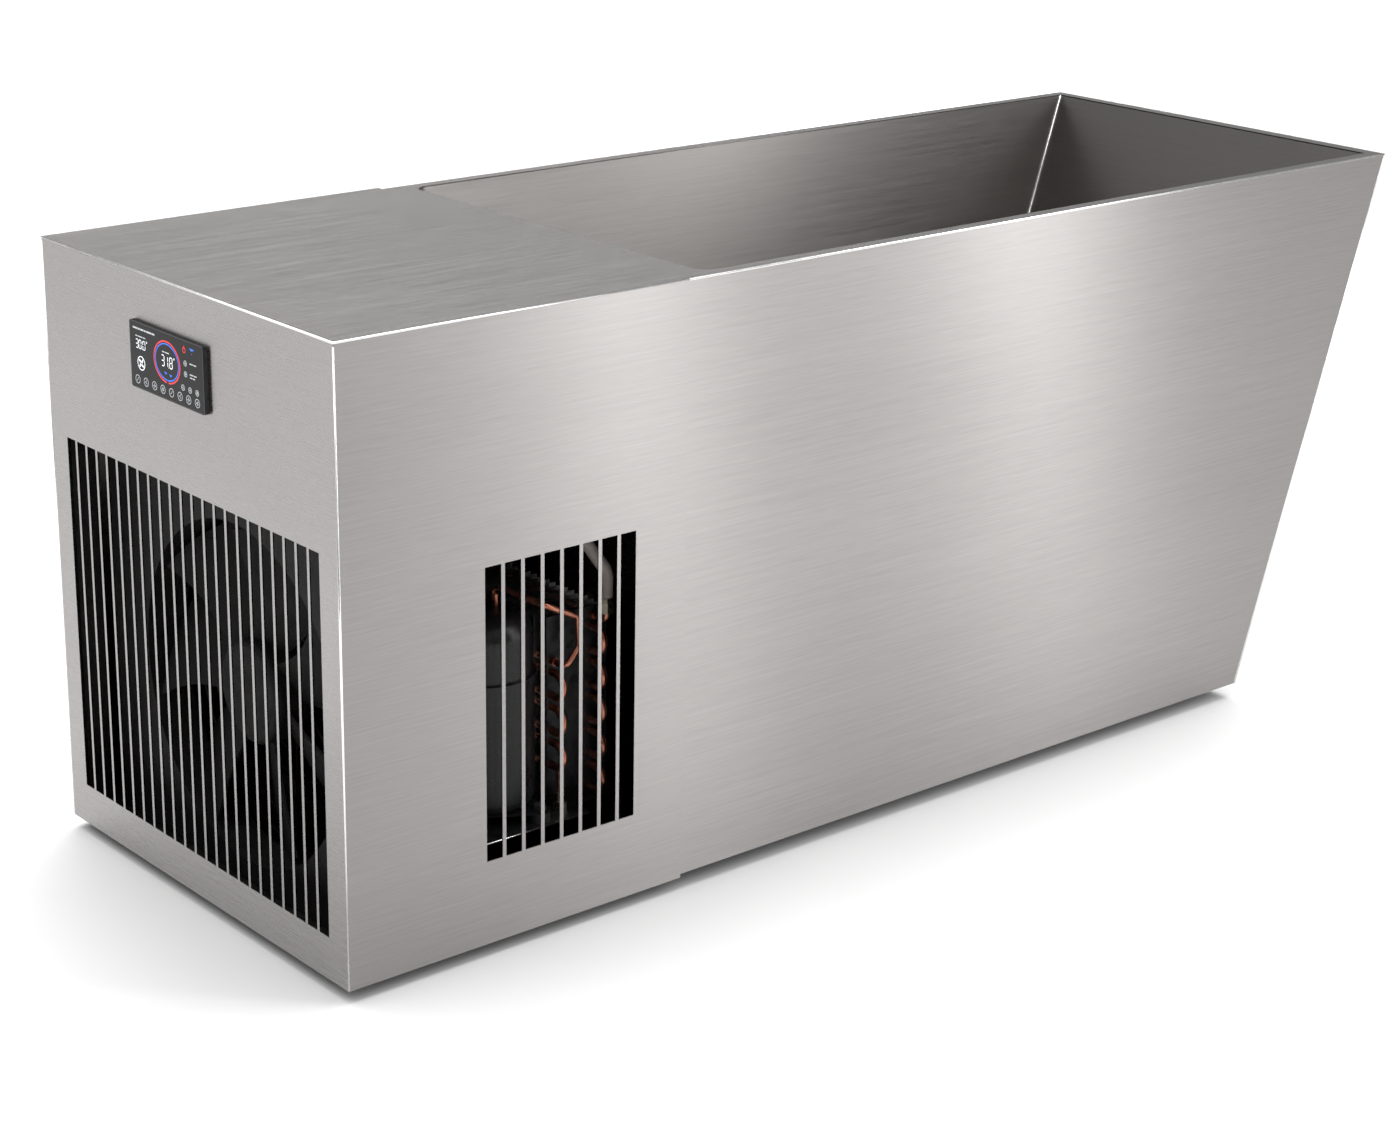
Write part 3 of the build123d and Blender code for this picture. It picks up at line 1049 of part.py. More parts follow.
with BuildPart(drain_plane) as drain_valve:
    with Locations(valve_middle):
        Cylinder(VALVE_BODY, 2 * valve_half)
        Cylinder(8, VALVE_BODY + 9, rotation=(-90, 0, 0), align=from_low)
        Cylinder(TAIL_RADIUS, valve_half + TAIL_COLLAR + TAIL_LENGTH, align=from_low)
    with BuildSketch(drain_plane.offset(VALVE_FROM_WALL + valve_half)) as collar:
        RegularPolygon(20, 6)
    extrude(collar.sketch, amount=TAIL_COLLAR)
    with Locations(valve_middle):
        Cylinder(DRAIN_BORE, 6 * valve_half, mode=Mode.SUBTRACT)
        Sphere(BALL + 2 * FIT, mode=Mode.SUBTRACT)
        Cylinder(4 + FIT, 60, rotation=(-90, 0, 0), align=from_low, mode=Mode.SUBTRACT)
save(drain_valve, "drain_valve")

with BuildPart(drain_plane) as drain_ball:
    with Locations(valve_middle):
        Sphere(BALL)
        Cylinder(DRAIN_BORE, 4 * BALL, rotation=(0, 90, 0), mode=Mode.SUBTRACT)
        Cylinder(4, VALVE_BODY + 14, rotation=(-90, 0, 0), align=from_low)
        Cylinder(DRAIN_BORE, 4 * BALL, rotation=(0, 90, 0), mode=Mode.SUBTRACT)
save(drain_ball, "drain_ball")

lever_level = VALVE_BODY + 9.5
lever_plane = Plane(origin=drain_plane.from_local_coords(Vector(0, lever_level, VALVE_FROM_WALL)),
                    x_dir=drain_plane.x_dir, z_dir=drain_plane.y_dir)
with BuildPart(lever_plane) as drain_lever:
    with BuildSketch(lever_plane):
        with Locations((LEVER_LENGTH / 2 - 4, 0)):
            SlotOverall(LEVER_LENGTH + 10, 18)
        Circle(4 + FIT, mode=Mode.SUBTRACT)
    extrude(amount=3)
save(drain_lever, "drain_lever")
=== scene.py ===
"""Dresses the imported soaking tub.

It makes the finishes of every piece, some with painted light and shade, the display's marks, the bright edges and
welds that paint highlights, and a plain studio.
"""

from __future__ import annotations

import json
import logging
import math
from dataclasses import dataclass
from enum import Enum

import bmesh
import bpy
from mathutils import Matrix, Vector


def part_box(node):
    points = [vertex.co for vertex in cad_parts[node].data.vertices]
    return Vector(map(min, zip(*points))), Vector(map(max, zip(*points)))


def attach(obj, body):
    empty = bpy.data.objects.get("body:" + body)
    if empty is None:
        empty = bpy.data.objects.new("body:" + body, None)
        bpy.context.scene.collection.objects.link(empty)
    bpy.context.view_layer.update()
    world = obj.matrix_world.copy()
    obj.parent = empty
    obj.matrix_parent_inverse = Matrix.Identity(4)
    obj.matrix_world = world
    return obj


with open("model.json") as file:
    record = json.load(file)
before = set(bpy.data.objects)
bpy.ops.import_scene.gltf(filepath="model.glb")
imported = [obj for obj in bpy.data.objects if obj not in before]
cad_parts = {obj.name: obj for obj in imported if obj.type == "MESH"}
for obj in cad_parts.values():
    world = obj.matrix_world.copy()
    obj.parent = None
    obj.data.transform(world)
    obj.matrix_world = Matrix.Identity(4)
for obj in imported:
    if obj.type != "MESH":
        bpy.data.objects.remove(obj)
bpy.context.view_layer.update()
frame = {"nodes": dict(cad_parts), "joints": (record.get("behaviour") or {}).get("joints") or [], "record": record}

MM = 0.001
Colour = tuple[float, float, float]
log = logging.getLogger("soaking_tub")


class Grain(Enum):
    """The direction that a sheet was brushed in."""

    LENGTHWAYS = (1.0, 0.0, 0.0)
    ACROSS = (0.0, 1.0, 0.0)


class Body(Enum):
    """The bodies that pieces ride on."""

    ROOT = "root"
    COVER = "cover"
    VALVE = "valve"


# ---------------------------------------------------------------- finishes
class Recipe:
    """The node tree of one finish, with short ways to add and join its nodes."""

    def __init__(self, name: str) -> None:
        """Starts a material that holds one Principled shader.

        Args:
            name: The material's name.
        """
        self.material = bpy.data.materials.new(name)
        self.material.use_nodes = True
        self.nodes = self.material.node_tree.nodes
        self.links = self.material.node_tree.links
        self.shader = next(n for n in self.nodes if n.type == "BSDF_PRINCIPLED")
        self.place = self.nodes.new("ShaderNodeTexCoord").outputs["Object"]

    def set(self, **values: object) -> None:
        """Sets the shader's own sockets; an underscore stands for a space.

        Args:
            values: Socket names and their values.
        """
        for name, value in values.items():
            self.shader.inputs[name.replace("_", " ")].default_value = value

    def stretched(self, scale: tuple[float, float, float]) -> bpy.types.NodeSocket:
        """Scales the place on the piece.

        Args:
            scale: The factor along each axis.

        Returns:
            The scaled place.
        """
        node = self.nodes.new("ShaderNodeVectorMath")
        node.operation = "MULTIPLY"
        self.links.new(self.place, node.inputs[0])
        node.inputs[1].default_value = scale
        return node.outputs[0]

    def noise(self, scale: tuple[float, float, float], detail: float = 3.0,
              rough: float = 0.5) -> bpy.types.NodeSocket:
        """Adds a noise field.

        Args:
            scale: Features per metre along each axis.
            detail: How many finer layers the noise has.
            rough: How strong the finer layers are.

        Returns:
            The noise's value.
        """
        node = self.nodes.new("ShaderNodeTexNoise")
        node.inputs["Scale"].default_value = 1.0
        node.inputs["Detail"].default_value = detail
        node.inputs["Roughness"].default_value = rough
        self.links.new(self.stretched(scale), node.inputs["Vector"])
        return node.outputs[0]

    def ranged(self, value: bpy.types.NodeSocket, low: float, high: float,
               start: float = 0.3, end: float = 0.7) -> bpy.types.NodeSocket:
        """Maps a value between start and end to between low and high.

        Args:
            value: The value to map.
            low: What start becomes.
            high: What end becomes.
            start: The value's lower end.
            end: The value's upper end.

        Returns:
            The mapped value.
        """
        node = self.nodes.new("ShaderNodeMapRange")
        self.links.new(value, node.inputs["Value"])
        for name, number in (("From Min", start), ("From Max", end), ("To Min", low), ("To Max", high)):
            node.inputs[name].default_value = number
        return node.outputs[0]

    def mixed(self, factor: bpy.types.NodeSocket, first: Colour, second: Colour) -> bpy.types.NodeSocket:
        """Mixes two colours.

        Args:
            factor: The second colour's share.
            first: The colour at 0.
            second: The colour at 1.

        Returns:
            The mixed colour.
        """
        node = self.nodes.new("ShaderNodeMix")
        node.data_type = "RGBA"
        self.links.new(factor, node.inputs[0])
        node.inputs[6].default_value = (*first, 1.0)
        node.inputs[7].default_value = (*second, 1.0)
        return node.outputs[2]

    def added(self, first: bpy.types.NodeSocket, second: bpy.types.NodeSocket) -> bpy.types.NodeSocket:
        """Takes the mean of two values.

        Args:
            first: One value.
            second: The other value.

        Returns:
            Their mean.
        """
        node = self.nodes.new("ShaderNodeMix")
        node.inputs[0].default_value = 0.5
        self.links.new(first, node.inputs[2])
        self.links.new(second, node.inputs[3])
        return node.outputs[0]

    def bump(self, height: bpy.types.NodeSocket, distance: float, strength: float = 1.0) -> None:
        """Gives the surface relief.

        Args:
            height: The relief's height, from 0 to 1.
            distance: The full height, in metres.
            strength: The share of it that shows.
        """
        node = self.nodes.new("ShaderNodeBump")
        node.inputs["Strength"].default_value = strength
        node.inputs["Distance"].default_value = distance
        self.links.new(height, node.inputs["Height"])
        self.links.new(node.outputs[0], self.shader.inputs["Normal"])

    def use(self, name: str, value: bpy.types.NodeSocket) -> None:
        """Feeds one of the shader's sockets.

        Args:
            name: The socket's name.
            value: What feeds it.
        """
        self.links.new(value, self.shader.inputs[name])


@dataclass(frozen=True)
class BrushedSteel:
    """Stainless sheet with a fine brushed grain."""

    name: str
    dark: Colour
    light: Colour
    grain: Grain = Grain.LENGTHWAYS
    roughness: tuple[float, float] = (0.25, 0.31)
    anisotropy: float = 0.985
    dashes: float = 330.0
    hairs: float = 900.0
    dash_length: float = 0.19
    cloud_scale: tuple[float, float] = (5.0, 2.0)
    tone_range: tuple[float, float] = (0.34, 0.66)
    gloss_range: tuple[float, float] = (0.35, 0.65)
    groove: float = 0.012 * MM

    def scale(self, across: float, along: float) -> tuple[float, float, float]:
        """Works out noise scales that are fine across the grain and long along it.

        Args:
            across: Features per metre across the grain.
            along: Features per metre along it.

        Returns:
            The scales along the three axes.
        """
        return tuple(along if share else across for share in self.grain.value)

    def make(self) -> bpy.types.Material:
        """Makes the material.

        Returns:
            The material.
        """
        recipe = Recipe(self.name)
        recipe.set(Metallic=1.0, Anisotropic=self.anisotropy)
        dashes = recipe.noise(self.scale(self.dashes, 1 / self.dash_length), 3, 0.6)
        hairs = recipe.noise(self.scale(self.hairs, 4 / self.dash_length), 2, 0.5)
        clouds = recipe.noise(self.scale(*self.cloud_scale), 2)
        grain = recipe.added(dashes, hairs)
        tone = recipe.added(grain, recipe.added(grain, clouds))
        share = recipe.ranged(tone, 0, 1, *self.tone_range)
        recipe.use("Base Color", recipe.mixed(share, self.dark, self.light))
        recipe.use("Roughness", recipe.ranged(grain, *self.roughness, *self.gloss_range))
        cross = recipe.nodes.new("ShaderNodeVectorMath")
        cross.operation = "CROSS_PRODUCT"
        facing = recipe.nodes.new("ShaderNodeNewGeometry")
        recipe.links.new(facing.outputs["Normal"], cross.inputs[0])
        cross.inputs[1].default_value = self.grain.value
        recipe.use("Tangent", cross.outputs[0])
        recipe.bump(grain, self.groove, 0.5)
        return recipe.material


@dataclass(frozen=True)
class Mottled:
    """A moulded, painted, drawn or cast finish with a little variation in colour and gloss."""

    name: str
    dark: Colour
    light: Colour
    roughness: tuple[float, float] = (0.4, 0.6)
    metallic: float = 0.0
    patch: float = 40.0
    pimple: float = 900.0
    relief: float = 0.03
    coat: float = 0.0
    shine: float = 0.5

    def make(self) -> bpy.types.Material:
        """Makes the material.

        Returns:
            The material.
        """
        recipe = Recipe(self.name)
        recipe.set(Metallic=self.metallic, Coat_Weight=self.coat, Coat_Roughness=0.12,
                   Specular_IOR_Level=self.shine)
        patches = recipe.noise((self.patch,) * 3, 4, 0.6)
        recipe.use("Base Color", recipe.mixed(recipe.ranged(patches, 0, 1), self.dark, self.light))
        recipe.use("Roughness", recipe.ranged(patches, *self.roughness))
        recipe.bump(recipe.noise((self.pimple,) * 3, 2), self.relief * MM, 0.6)
        return recipe.material


@dataclass(frozen=True)
class Spangled:
    """Zinc-coated sheet with faint crystals."""

    name: str
    dark: Colour
    light: Colour
    crystals: float = 90.0

    def make(self) -> bpy.types.Material:
        """Makes the material.

        Returns:
            The material.
        """
        recipe = Recipe(self.name)
        recipe.set(Metallic=0.9)
        cells = recipe.nodes.new("ShaderNodeTexVoronoi")
        cells.inputs["Scale"].default_value = self.crystals
        recipe.links.new(recipe.place, cells.inputs["Vector"])
        tone = recipe.nodes.new("ShaderNodeSeparateColor")
        recipe.links.new(cells.outputs["Color"], tone.inputs[0])
        recipe.use("Base Color", recipe.mixed(tone.outputs[0], self.dark, self.light))
        recipe.use("Roughness", recipe.ranged(tone.outputs[1], 0.38, 0.58, 0, 1))
        recipe.bump(recipe.noise((300, 300, 300), 2), 0.02 * MM, 0.5)
        return recipe.material


@dataclass(frozen=True)
class Clear:
    """Clear or smoked gloss material."""

    name: str
    colour: Colour
    roughness: float = 0.06
    see_through: float = 0.0
    shine: float = 0.5

    def make(self) -> bpy.types.Material:
        """Makes the material.

        Returns:
            The material.
        """
        recipe = Recipe(self.name)
        recipe.set(Base_Color=(*self.colour, 1.0), Transmission_Weight=self.see_through, IOR=1.49,
                   Specular_IOR_Level=self.shine)
        smears = recipe.noise((60, 60, 60), 3)
        recipe.use("Roughness", recipe.ranged(smears, self.roughness, self.roughness + 0.06))
        return recipe.material


@dataclass(frozen=True)
class Lit:
    """A mark that glows behind the display's glass."""

    name: str
    colour: Colour
    strength: float = 1.0

    def make(self) -> bpy.types.Material:
        """Makes the material.

        Returns:
            The material.
        """
        recipe = Recipe(self.name)
        recipe.set(Base_Color=(*self.colour, 1.0), Emission_Strength=self.strength, Roughness=0.4)
        glow = recipe.noise((400, 400, 400), 1)
        dim = tuple(0.86 * share for share in self.colour)
        recipe.use("Emission Color", recipe.mixed(recipe.ranged(glow, 0, 1), dim, self.colour))
        return recipe.material


Finish = BrushedSteel | Mottled | Spangled | Clear | Lit

SHELL_DARK = (0.268, 0.257, 0.252)
SHELL_LIGHT = (0.330, 0.318, 0.312)
# The front panel's copy of the shell steel, about a fifth lighter than the sides: painted light, not a different
# sheet.
FRONT_PAINTED_LIGHT_LOW = (0.325, 0.313, 0.307)
FRONT_PAINTED_LIGHT_HIGH = (0.395, 0.381, 0.375)
# The liner's copy of the shell steel, lighter than the outer shell: painted light on the trough's inner walls.
LINER_PAINTED_LIGHT_LOW = (0.37, 0.356, 0.344)
LINER_PAINTED_LIGHT_HIGH = (0.465, 0.448, 0.435)
# The leaning end wall's copy of the liner steel, about a third darker than the liner: painted shade.
END_PAINTED_SHADE_LOW = (0.255, 0.243, 0.234)
END_PAINTED_SHADE_HIGH = (0.325, 0.310, 0.299)

SLOT_FINISHES = {
    "brushed_shell": BrushedSteel("brushed_lengthways", SHELL_DARK, SHELL_LIGHT, roughness=(0.31, 0.37),
                                  anisotropy=0.99),
    # The liner's lighter copy of the shell steel is painted light.
    "liner": BrushedSteel("liner_lengthways_painted_light", LINER_PAINTED_LIGHT_LOW, LINER_PAINTED_LIGHT_HIGH, roughness=(0.34, 0.46)),
    # The zinc sheet is darkened almost to black, far below real zinc: painted shade for the shadowed inside of the
    # cabinet.
    "galvanised": Spangled("zinc_sheet_painted_shade", (0.035, 0.036, 0.038), (0.06, 0.062, 0.065)),
    "foam": Mottled("foam", (0.72, 0.62, 0.40), (0.85, 0.77, 0.55), (0.8, 0.95), patch=120, relief=0.3),
    "pipe_foam": Mottled("pipe_lagging", (0.19, 0.165, 0.15), (0.29, 0.255, 0.235), (0.5, 0.7), relief=0.1),
    "rubber": Mottled("rubber", (0.012, 0.012, 0.013), (0.03, 0.03, 0.03), (0.55, 0.75)),
    "black_plastic": Mottled("black_moulding", (0.010, 0.010, 0.011), (0.022, 0.022, 0.023), (0.35, 0.5)),
    "grey_plastic": Mottled("grey_moulding", (0.10, 0.102, 0.105), (0.15, 0.152, 0.155), (0.4, 0.55)),
    "blue_plastic": Mottled("blue_moulding", (0.02, 0.06, 0.22), (0.03, 0.09, 0.30), (0.25, 0.4), coat=0.3),
    "red_plastic": Mottled("red_moulding", (0.42, 0.012, 0.012), (0.55, 0.02, 0.02), (0.2, 0.35), coat=0.4),
    "fan_plastic": Mottled("fan_moulding", (0.003, 0.003, 0.0033), (0.006, 0.006, 0.0065), (0.6, 0.8),
                           shine=0.2),
    "clear_plastic": Clear("clear_canister", (0.62, 0.76, 0.86), 0.08, 0.85),
    "filter_paper": Mottled("filter_fleece", (0.72, 0.72, 0.68), (0.88, 0.88, 0.84), (0.85, 0.98),
                            relief=0.2),
    "display_glass": Clear("display_glass", (0.004, 0.004, 0.005), 0.05, shine=0.16),
    "circuit_board": Mottled("circuit_board", (0.008, 0.07, 0.025), (0.015, 0.12, 0.04), (0.3, 0.45),
                             patch=300),
    "grey_paint": Mottled("grey_powder_coat", (0.022, 0.0225, 0.024), (0.036, 0.037, 0.039), (0.5, 0.65)),
    "black_paint": Mottled("black_enamel", (0.006, 0.006, 0.007), (0.013, 0.013, 0.0145), (0.24, 0.38),
                           shine=0.28),
    "fin_aluminium": Mottled("fin_foil", (0.34, 0.345, 0.35), (0.48, 0.485, 0.49), (0.3, 0.5), 1.0),
    "copper": Mottled("drawn_copper", (0.26, 0.085, 0.052), (0.62, 0.26, 0.175), (0.24, 0.40), 1.0, 35),
    "brass": Mottled("plated_brass", (0.42, 0.38, 0.28), (0.60, 0.56, 0.45), (0.2, 0.35), 1.0),
    "bright_fitting": Mottled("turned_steel", (0.60, 0.60, 0.60), (0.74, 0.74, 0.74), (0.10, 0.22), 1.0),
}
NODE_FINISHES = {
    # The front panel gets the lighter copy of the shell steel: painted light.
    "front_panel": BrushedSteel("brushed_across_painted_light", FRONT_PAINTED_LIGHT_LOW, FRONT_PAINTED_LIGHT_HIGH, Grain.ACROSS),
    "fan_shroud": Mottled("shroud_coat", (0.006, 0.006, 0.0065), (0.011, 0.011, 0.012), (0.5, 0.65),
                          shine=0.2),
    "top_cover": BrushedSteel("brushed_top", SHELL_DARK, SHELL_LIGHT, roughness=(0.20, 0.25),
                              anisotropy=0.97),
    "tub_rim": BrushedSteel("brushed_rim", SHELL_DARK, SHELL_LIGHT, roughness=(0.20, 0.25),
                            anisotropy=0.97),
    "tub_end_skin": BrushedSteel("brushed_end", SHELL_DARK, SHELL_LIGHT, Grain.ACROSS),
    "tub_head_skin": BrushedSteel("brushed_head", SHELL_DARK, SHELL_LIGHT, Grain.ACROSS),
    # The leaning end wall gets the darker copy of the liner steel: painted shade.
    "liner_end_wall": BrushedSteel("liner_end", END_PAINTED_SHADE_LOW, END_PAINTED_SHADE_HIGH, Grain.ACROSS, (0.34, 0.46)),
    # The head wall shares the liner's lighter copy of the steel: painted light.
    "liner_head_wall": BrushedSteel("liner_head", LINER_PAINTED_LIGHT_LOW, LINER_PAINTED_LIGHT_HIGH, Grain.ACROSS, (0.34, 0.46)),
}
# Much lighter than the sheet steel: on the shell's edges and the tray's lip a painted highlight, on the trough's
# welds partly a real polished weld and partly painted highlight.
POLISHED_AND_HIGHLIGHT = Mottled("polished_and_highlight_edge", (0.84, 0.835, 0.83), (0.94, 0.935, 0.93), (0.16, 0.26), 1.0, 60, 600,
                   0.02)
GRIP_VINYL = Mottled("grip_vinyl", (0.30, 0.01, 0.01), (0.40, 0.02, 0.015), (0.35, 0.5), relief=0.05)
FLOOR_PAPER = Mottled("floor_paper", (0.82, 0.82, 0.82), (0.84, 0.84, 0.84), (0.7, 0.8), patch=2)
WHITE_LIGHT = Lit("lit_white", (0.82, 0.86, 0.90), 0.95)
DIM_LIGHT = Lit("lit_dim", (0.42, 0.44, 0.46), 0.55)
RED_LIGHT = Lit("lit_red", (0.62, 0.012, 0.018), 0.85)
BLUE_LIGHT = Lit("lit_blue", (0.012, 0.12, 0.62), 0.85)


class FinishShelf:
    """Makes each finish once and puts it on pieces."""

    def __init__(self) -> None:
        """Starts with no finish made."""
        self.made: dict[str, bpy.types.Material] = {}

    def get(self, finish: Finish) -> bpy.types.Material:
        """Finds a finish's material, and makes it on first use.

        Args:
            finish: One of the finish classes.

        Returns:
            The material.
        """
        if finish.name not in self.made:
            self.made[finish.name] = finish.make()
        return self.made[finish.name]

    def dress(self, piece: bpy.types.Object, finish: Finish) -> None:
        """Puts a finish on every material slot of a piece.

        Args:
            piece: The mesh object.
            finish: One of the finish classes.
        """
        material = self.get(finish)
        if not piece.material_slots:
            piece.data.materials.append(material)
        for place in piece.material_slots:
            place.link = "OBJECT"
            place.material = material

    def dress_frame(self) -> None:
        """Dresses every carried-over node by its slot in the record."""
        for part in frame["record"]["subparts"]:
            node = part["node"]
            finish = NODE_FINISHES.get(node) or SLOT_FINISHES[part["material_slot"]]
            self.dress(frame["nodes"][node], finish)
            log.info("dressed %s with %s", node, finish.name)


# ---------------------------------------------------------------- mesh making
class Shaper:
    """Collects faces for one piece and makes it an object."""

    def __init__(self, name: str) -> None:
        """Starts an empty mesh.

        Args:
            name: The piece's name.
        """
        self.name = name
        self.mesh = bmesh.new()

    def skin(self, rings: list[list[Vector]], closed: bool = False) -> None:
        """Joins rings of points into a tube, capped unless it closes on itself.

        Args:
            rings: The rings, each with as many points.
            closed: Whether the last ring joins the first.
        """
        made = [[self.mesh.verts.new(point) for point in ring] for ring in rings]
        pairs = list(zip(made, made[1:])) + ([(made[-1], made[0])] if closed else [])
        for near, far in pairs:
            for i in range(len(near)):
                j = (i + 1) % len(near)
                self.mesh.faces.new((near[i], near[j], far[j], far[i]))
        if not closed:
            self.mesh.faces.new(list(reversed(made[0])))
            self.mesh.faces.new(made[-1])

    def bead(self, points: list[Vector], radius: float, sides: int = 10) -> None:
        """Lays a round bead along straight runs.

        Args:
            points: The corners of the bead's line.
            radius: The bead's radius.
            sides: How many sides its section has.
        """
        rings = []
        for index, point in enumerate(points):
            before = (point - points[index - 1]).normalized() if index else None
            after = (points[index + 1] - point).normalized() if index + 1 < len(points) else None
            along = ((before or after) + (after or before)).normalized()
            side = along.orthogonal().normalized() if abs(along.z) > 0.9 else along.cross(Vector((0, 0, 1)))
            side.normalize()
            up = along.cross(side)
            widen = 1.0 / max(0.3, along.dot(after or before))
            turns = [2 * math.pi * n / sides for n in range(sides)]
            rings.append([point + radius * (side * math.cos(t) * widen + up * math.sin(t)) for t in turns])
        self.skin(rings)

    def plate(self, outline: list[Vector], depth: Vector) -> None:
        """Raises a flat outline into a plate.

        Args:
            outline: The outline's points in order.
            depth: The plate's thickness and direction.
        """
        self.skin([outline, [point + depth for point in outline]])

    def finish(self, body: Body, slot: str, smooth: bool = False) -> bpy.types.Object:
        """Makes the object, and has it ride on a body.

        Args:
            body: The body it rides on.
            slot: The record's material slot it belongs to; not used.
            smooth: Whether its faces are shaded smooth.

        Returns:
            The object.
        """
        bmesh.ops.recalc_face_normals(self.mesh, faces=self.mesh.faces)
        data = bpy.data.meshes.new(self.name)
        self.mesh.to_mesh(data)
        self.mesh.free()
        data.shade_smooth() if smooth else data.shade_flat()
        piece = bpy.data.objects.new(self.name, data)
        bpy.context.scene.collection.objects.link(piece)
        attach(piece, body.value)
        log.info("made %s on %s", self.name, body.value)
        return piece


# ---------------------------------------------------------------- sub-assemblies
@dataclass
class EdgeBeads:
    """Light beads on the edges of the shell and the tray's lip, which paint the edges' highlights, and weld beads
    inside the trough, partly real polished welds and partly painted highlight.
    """

    shelf: FinishShelf
    edge_radius: float = 1.3 * MM
    weld_radius: float = 1.4 * MM
    weld_sink: float = 0.35
    sink: float = 0.9 * MM
    rim_width: float = 20 * MM
    sheet: float = 1.5 * MM

    def along(self, name: str, body: Body, runs: list[list[Vector]], radius: float) -> None:
        """Lays beads along some runs, as one piece.

        Args:
            name: The piece's name.
            body: The body it rides on.
            runs: Lists of corners.
            radius: The beads' radius.
        """
        shaper = Shaper(name)
        for run in runs:
            shaper.bead(run, radius)
        # The beads carry the light steel that paints the edges' highlights.
        self.shelf.dress(shaper.finish(body, "brushed_shell", smooth=True), POLISHED_AND_HIGHLIGHT)

    def build(self) -> None:
        """Makes every bead."""
        low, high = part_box("top_cover")
        panel_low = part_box("front_panel")[0]
        s = self.sink
        front, joint, near, far, top = low.x + s, high.x, low.y + s, high.y - s, high.z - s
        self.along("cover_edges", Body.COVER, [[Vector((joint, near, top)), Vector((front, near, top)),
                   Vector((front, far, top)), Vector((joint, far, top))]], self.edge_radius)
        foot = panel_low.z + s
        under = top - 3 * self.edge_radius
        corners = [[Vector((front, y, foot)), Vector((front, y, under))] for y in (near, far)]
        self.along("cabinet_corners", Body.ROOT, corners, self.edge_radius)
        tray_low, tray_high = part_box("equipment_tray")
        lip_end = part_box("coil_end_plates")[0].x
        lip = [Vector((x, tray_low.y + s, tray_high.z - s)) for x in (tray_low.x + s, lip_end)]
        self.along("tray_lip", Body.ROOT, [lip], self.edge_radius)
        rim_low, rim_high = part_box("tub_rim")
        skin_low, skin_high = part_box("tub_underside")
        y_near, y_far, end, head = rim_low.y + s, rim_high.y - s, rim_high.x - s, rim_low.x + s
        rim_top = rim_high.z - s
        heel_x = skin_high.x - s
        heel_z = skin_low.z + s
        rim = [[Vector((head, y_near, rim_top)), Vector((end, y_near, rim_top)),
                Vector((end, y_far, rim_top)), Vector((head, y_far, rim_top))]]
        leaning = [[Vector((heel_x, y, heel_z)), Vector((end, y, rim_top))] for y in (y_near, y_far)]
        self.along("rim_edges", Body.ROOT, rim, self.edge_radius)
        self.along("leaning_edges", Body.ROOT, leaning, self.edge_radius)
        wall_low, wall_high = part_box("liner_side_walls")
        end_low, end_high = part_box("liner_end_wall")
        lean = (end_high.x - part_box("liner_floor")[1].x) / (end_high.z - end_low.z)
        inside = self.weld_radius * self.weld_sink
        top_x = rim_high.x - (rim_high.z - wall_high.z) * lean - self.rim_width - inside
        bottom_x = top_x - (wall_high.z - wall_low.z) * lean
        welds = [[Vector((bottom_x, y, wall_low.z)), Vector((top_x, y, wall_high.z))]
                 for y in (wall_low.y + self.sheet + inside, wall_high.y - self.sheet - inside)]
        self.along("corner_welds", Body.ROOT, welds, self.weld_radius)


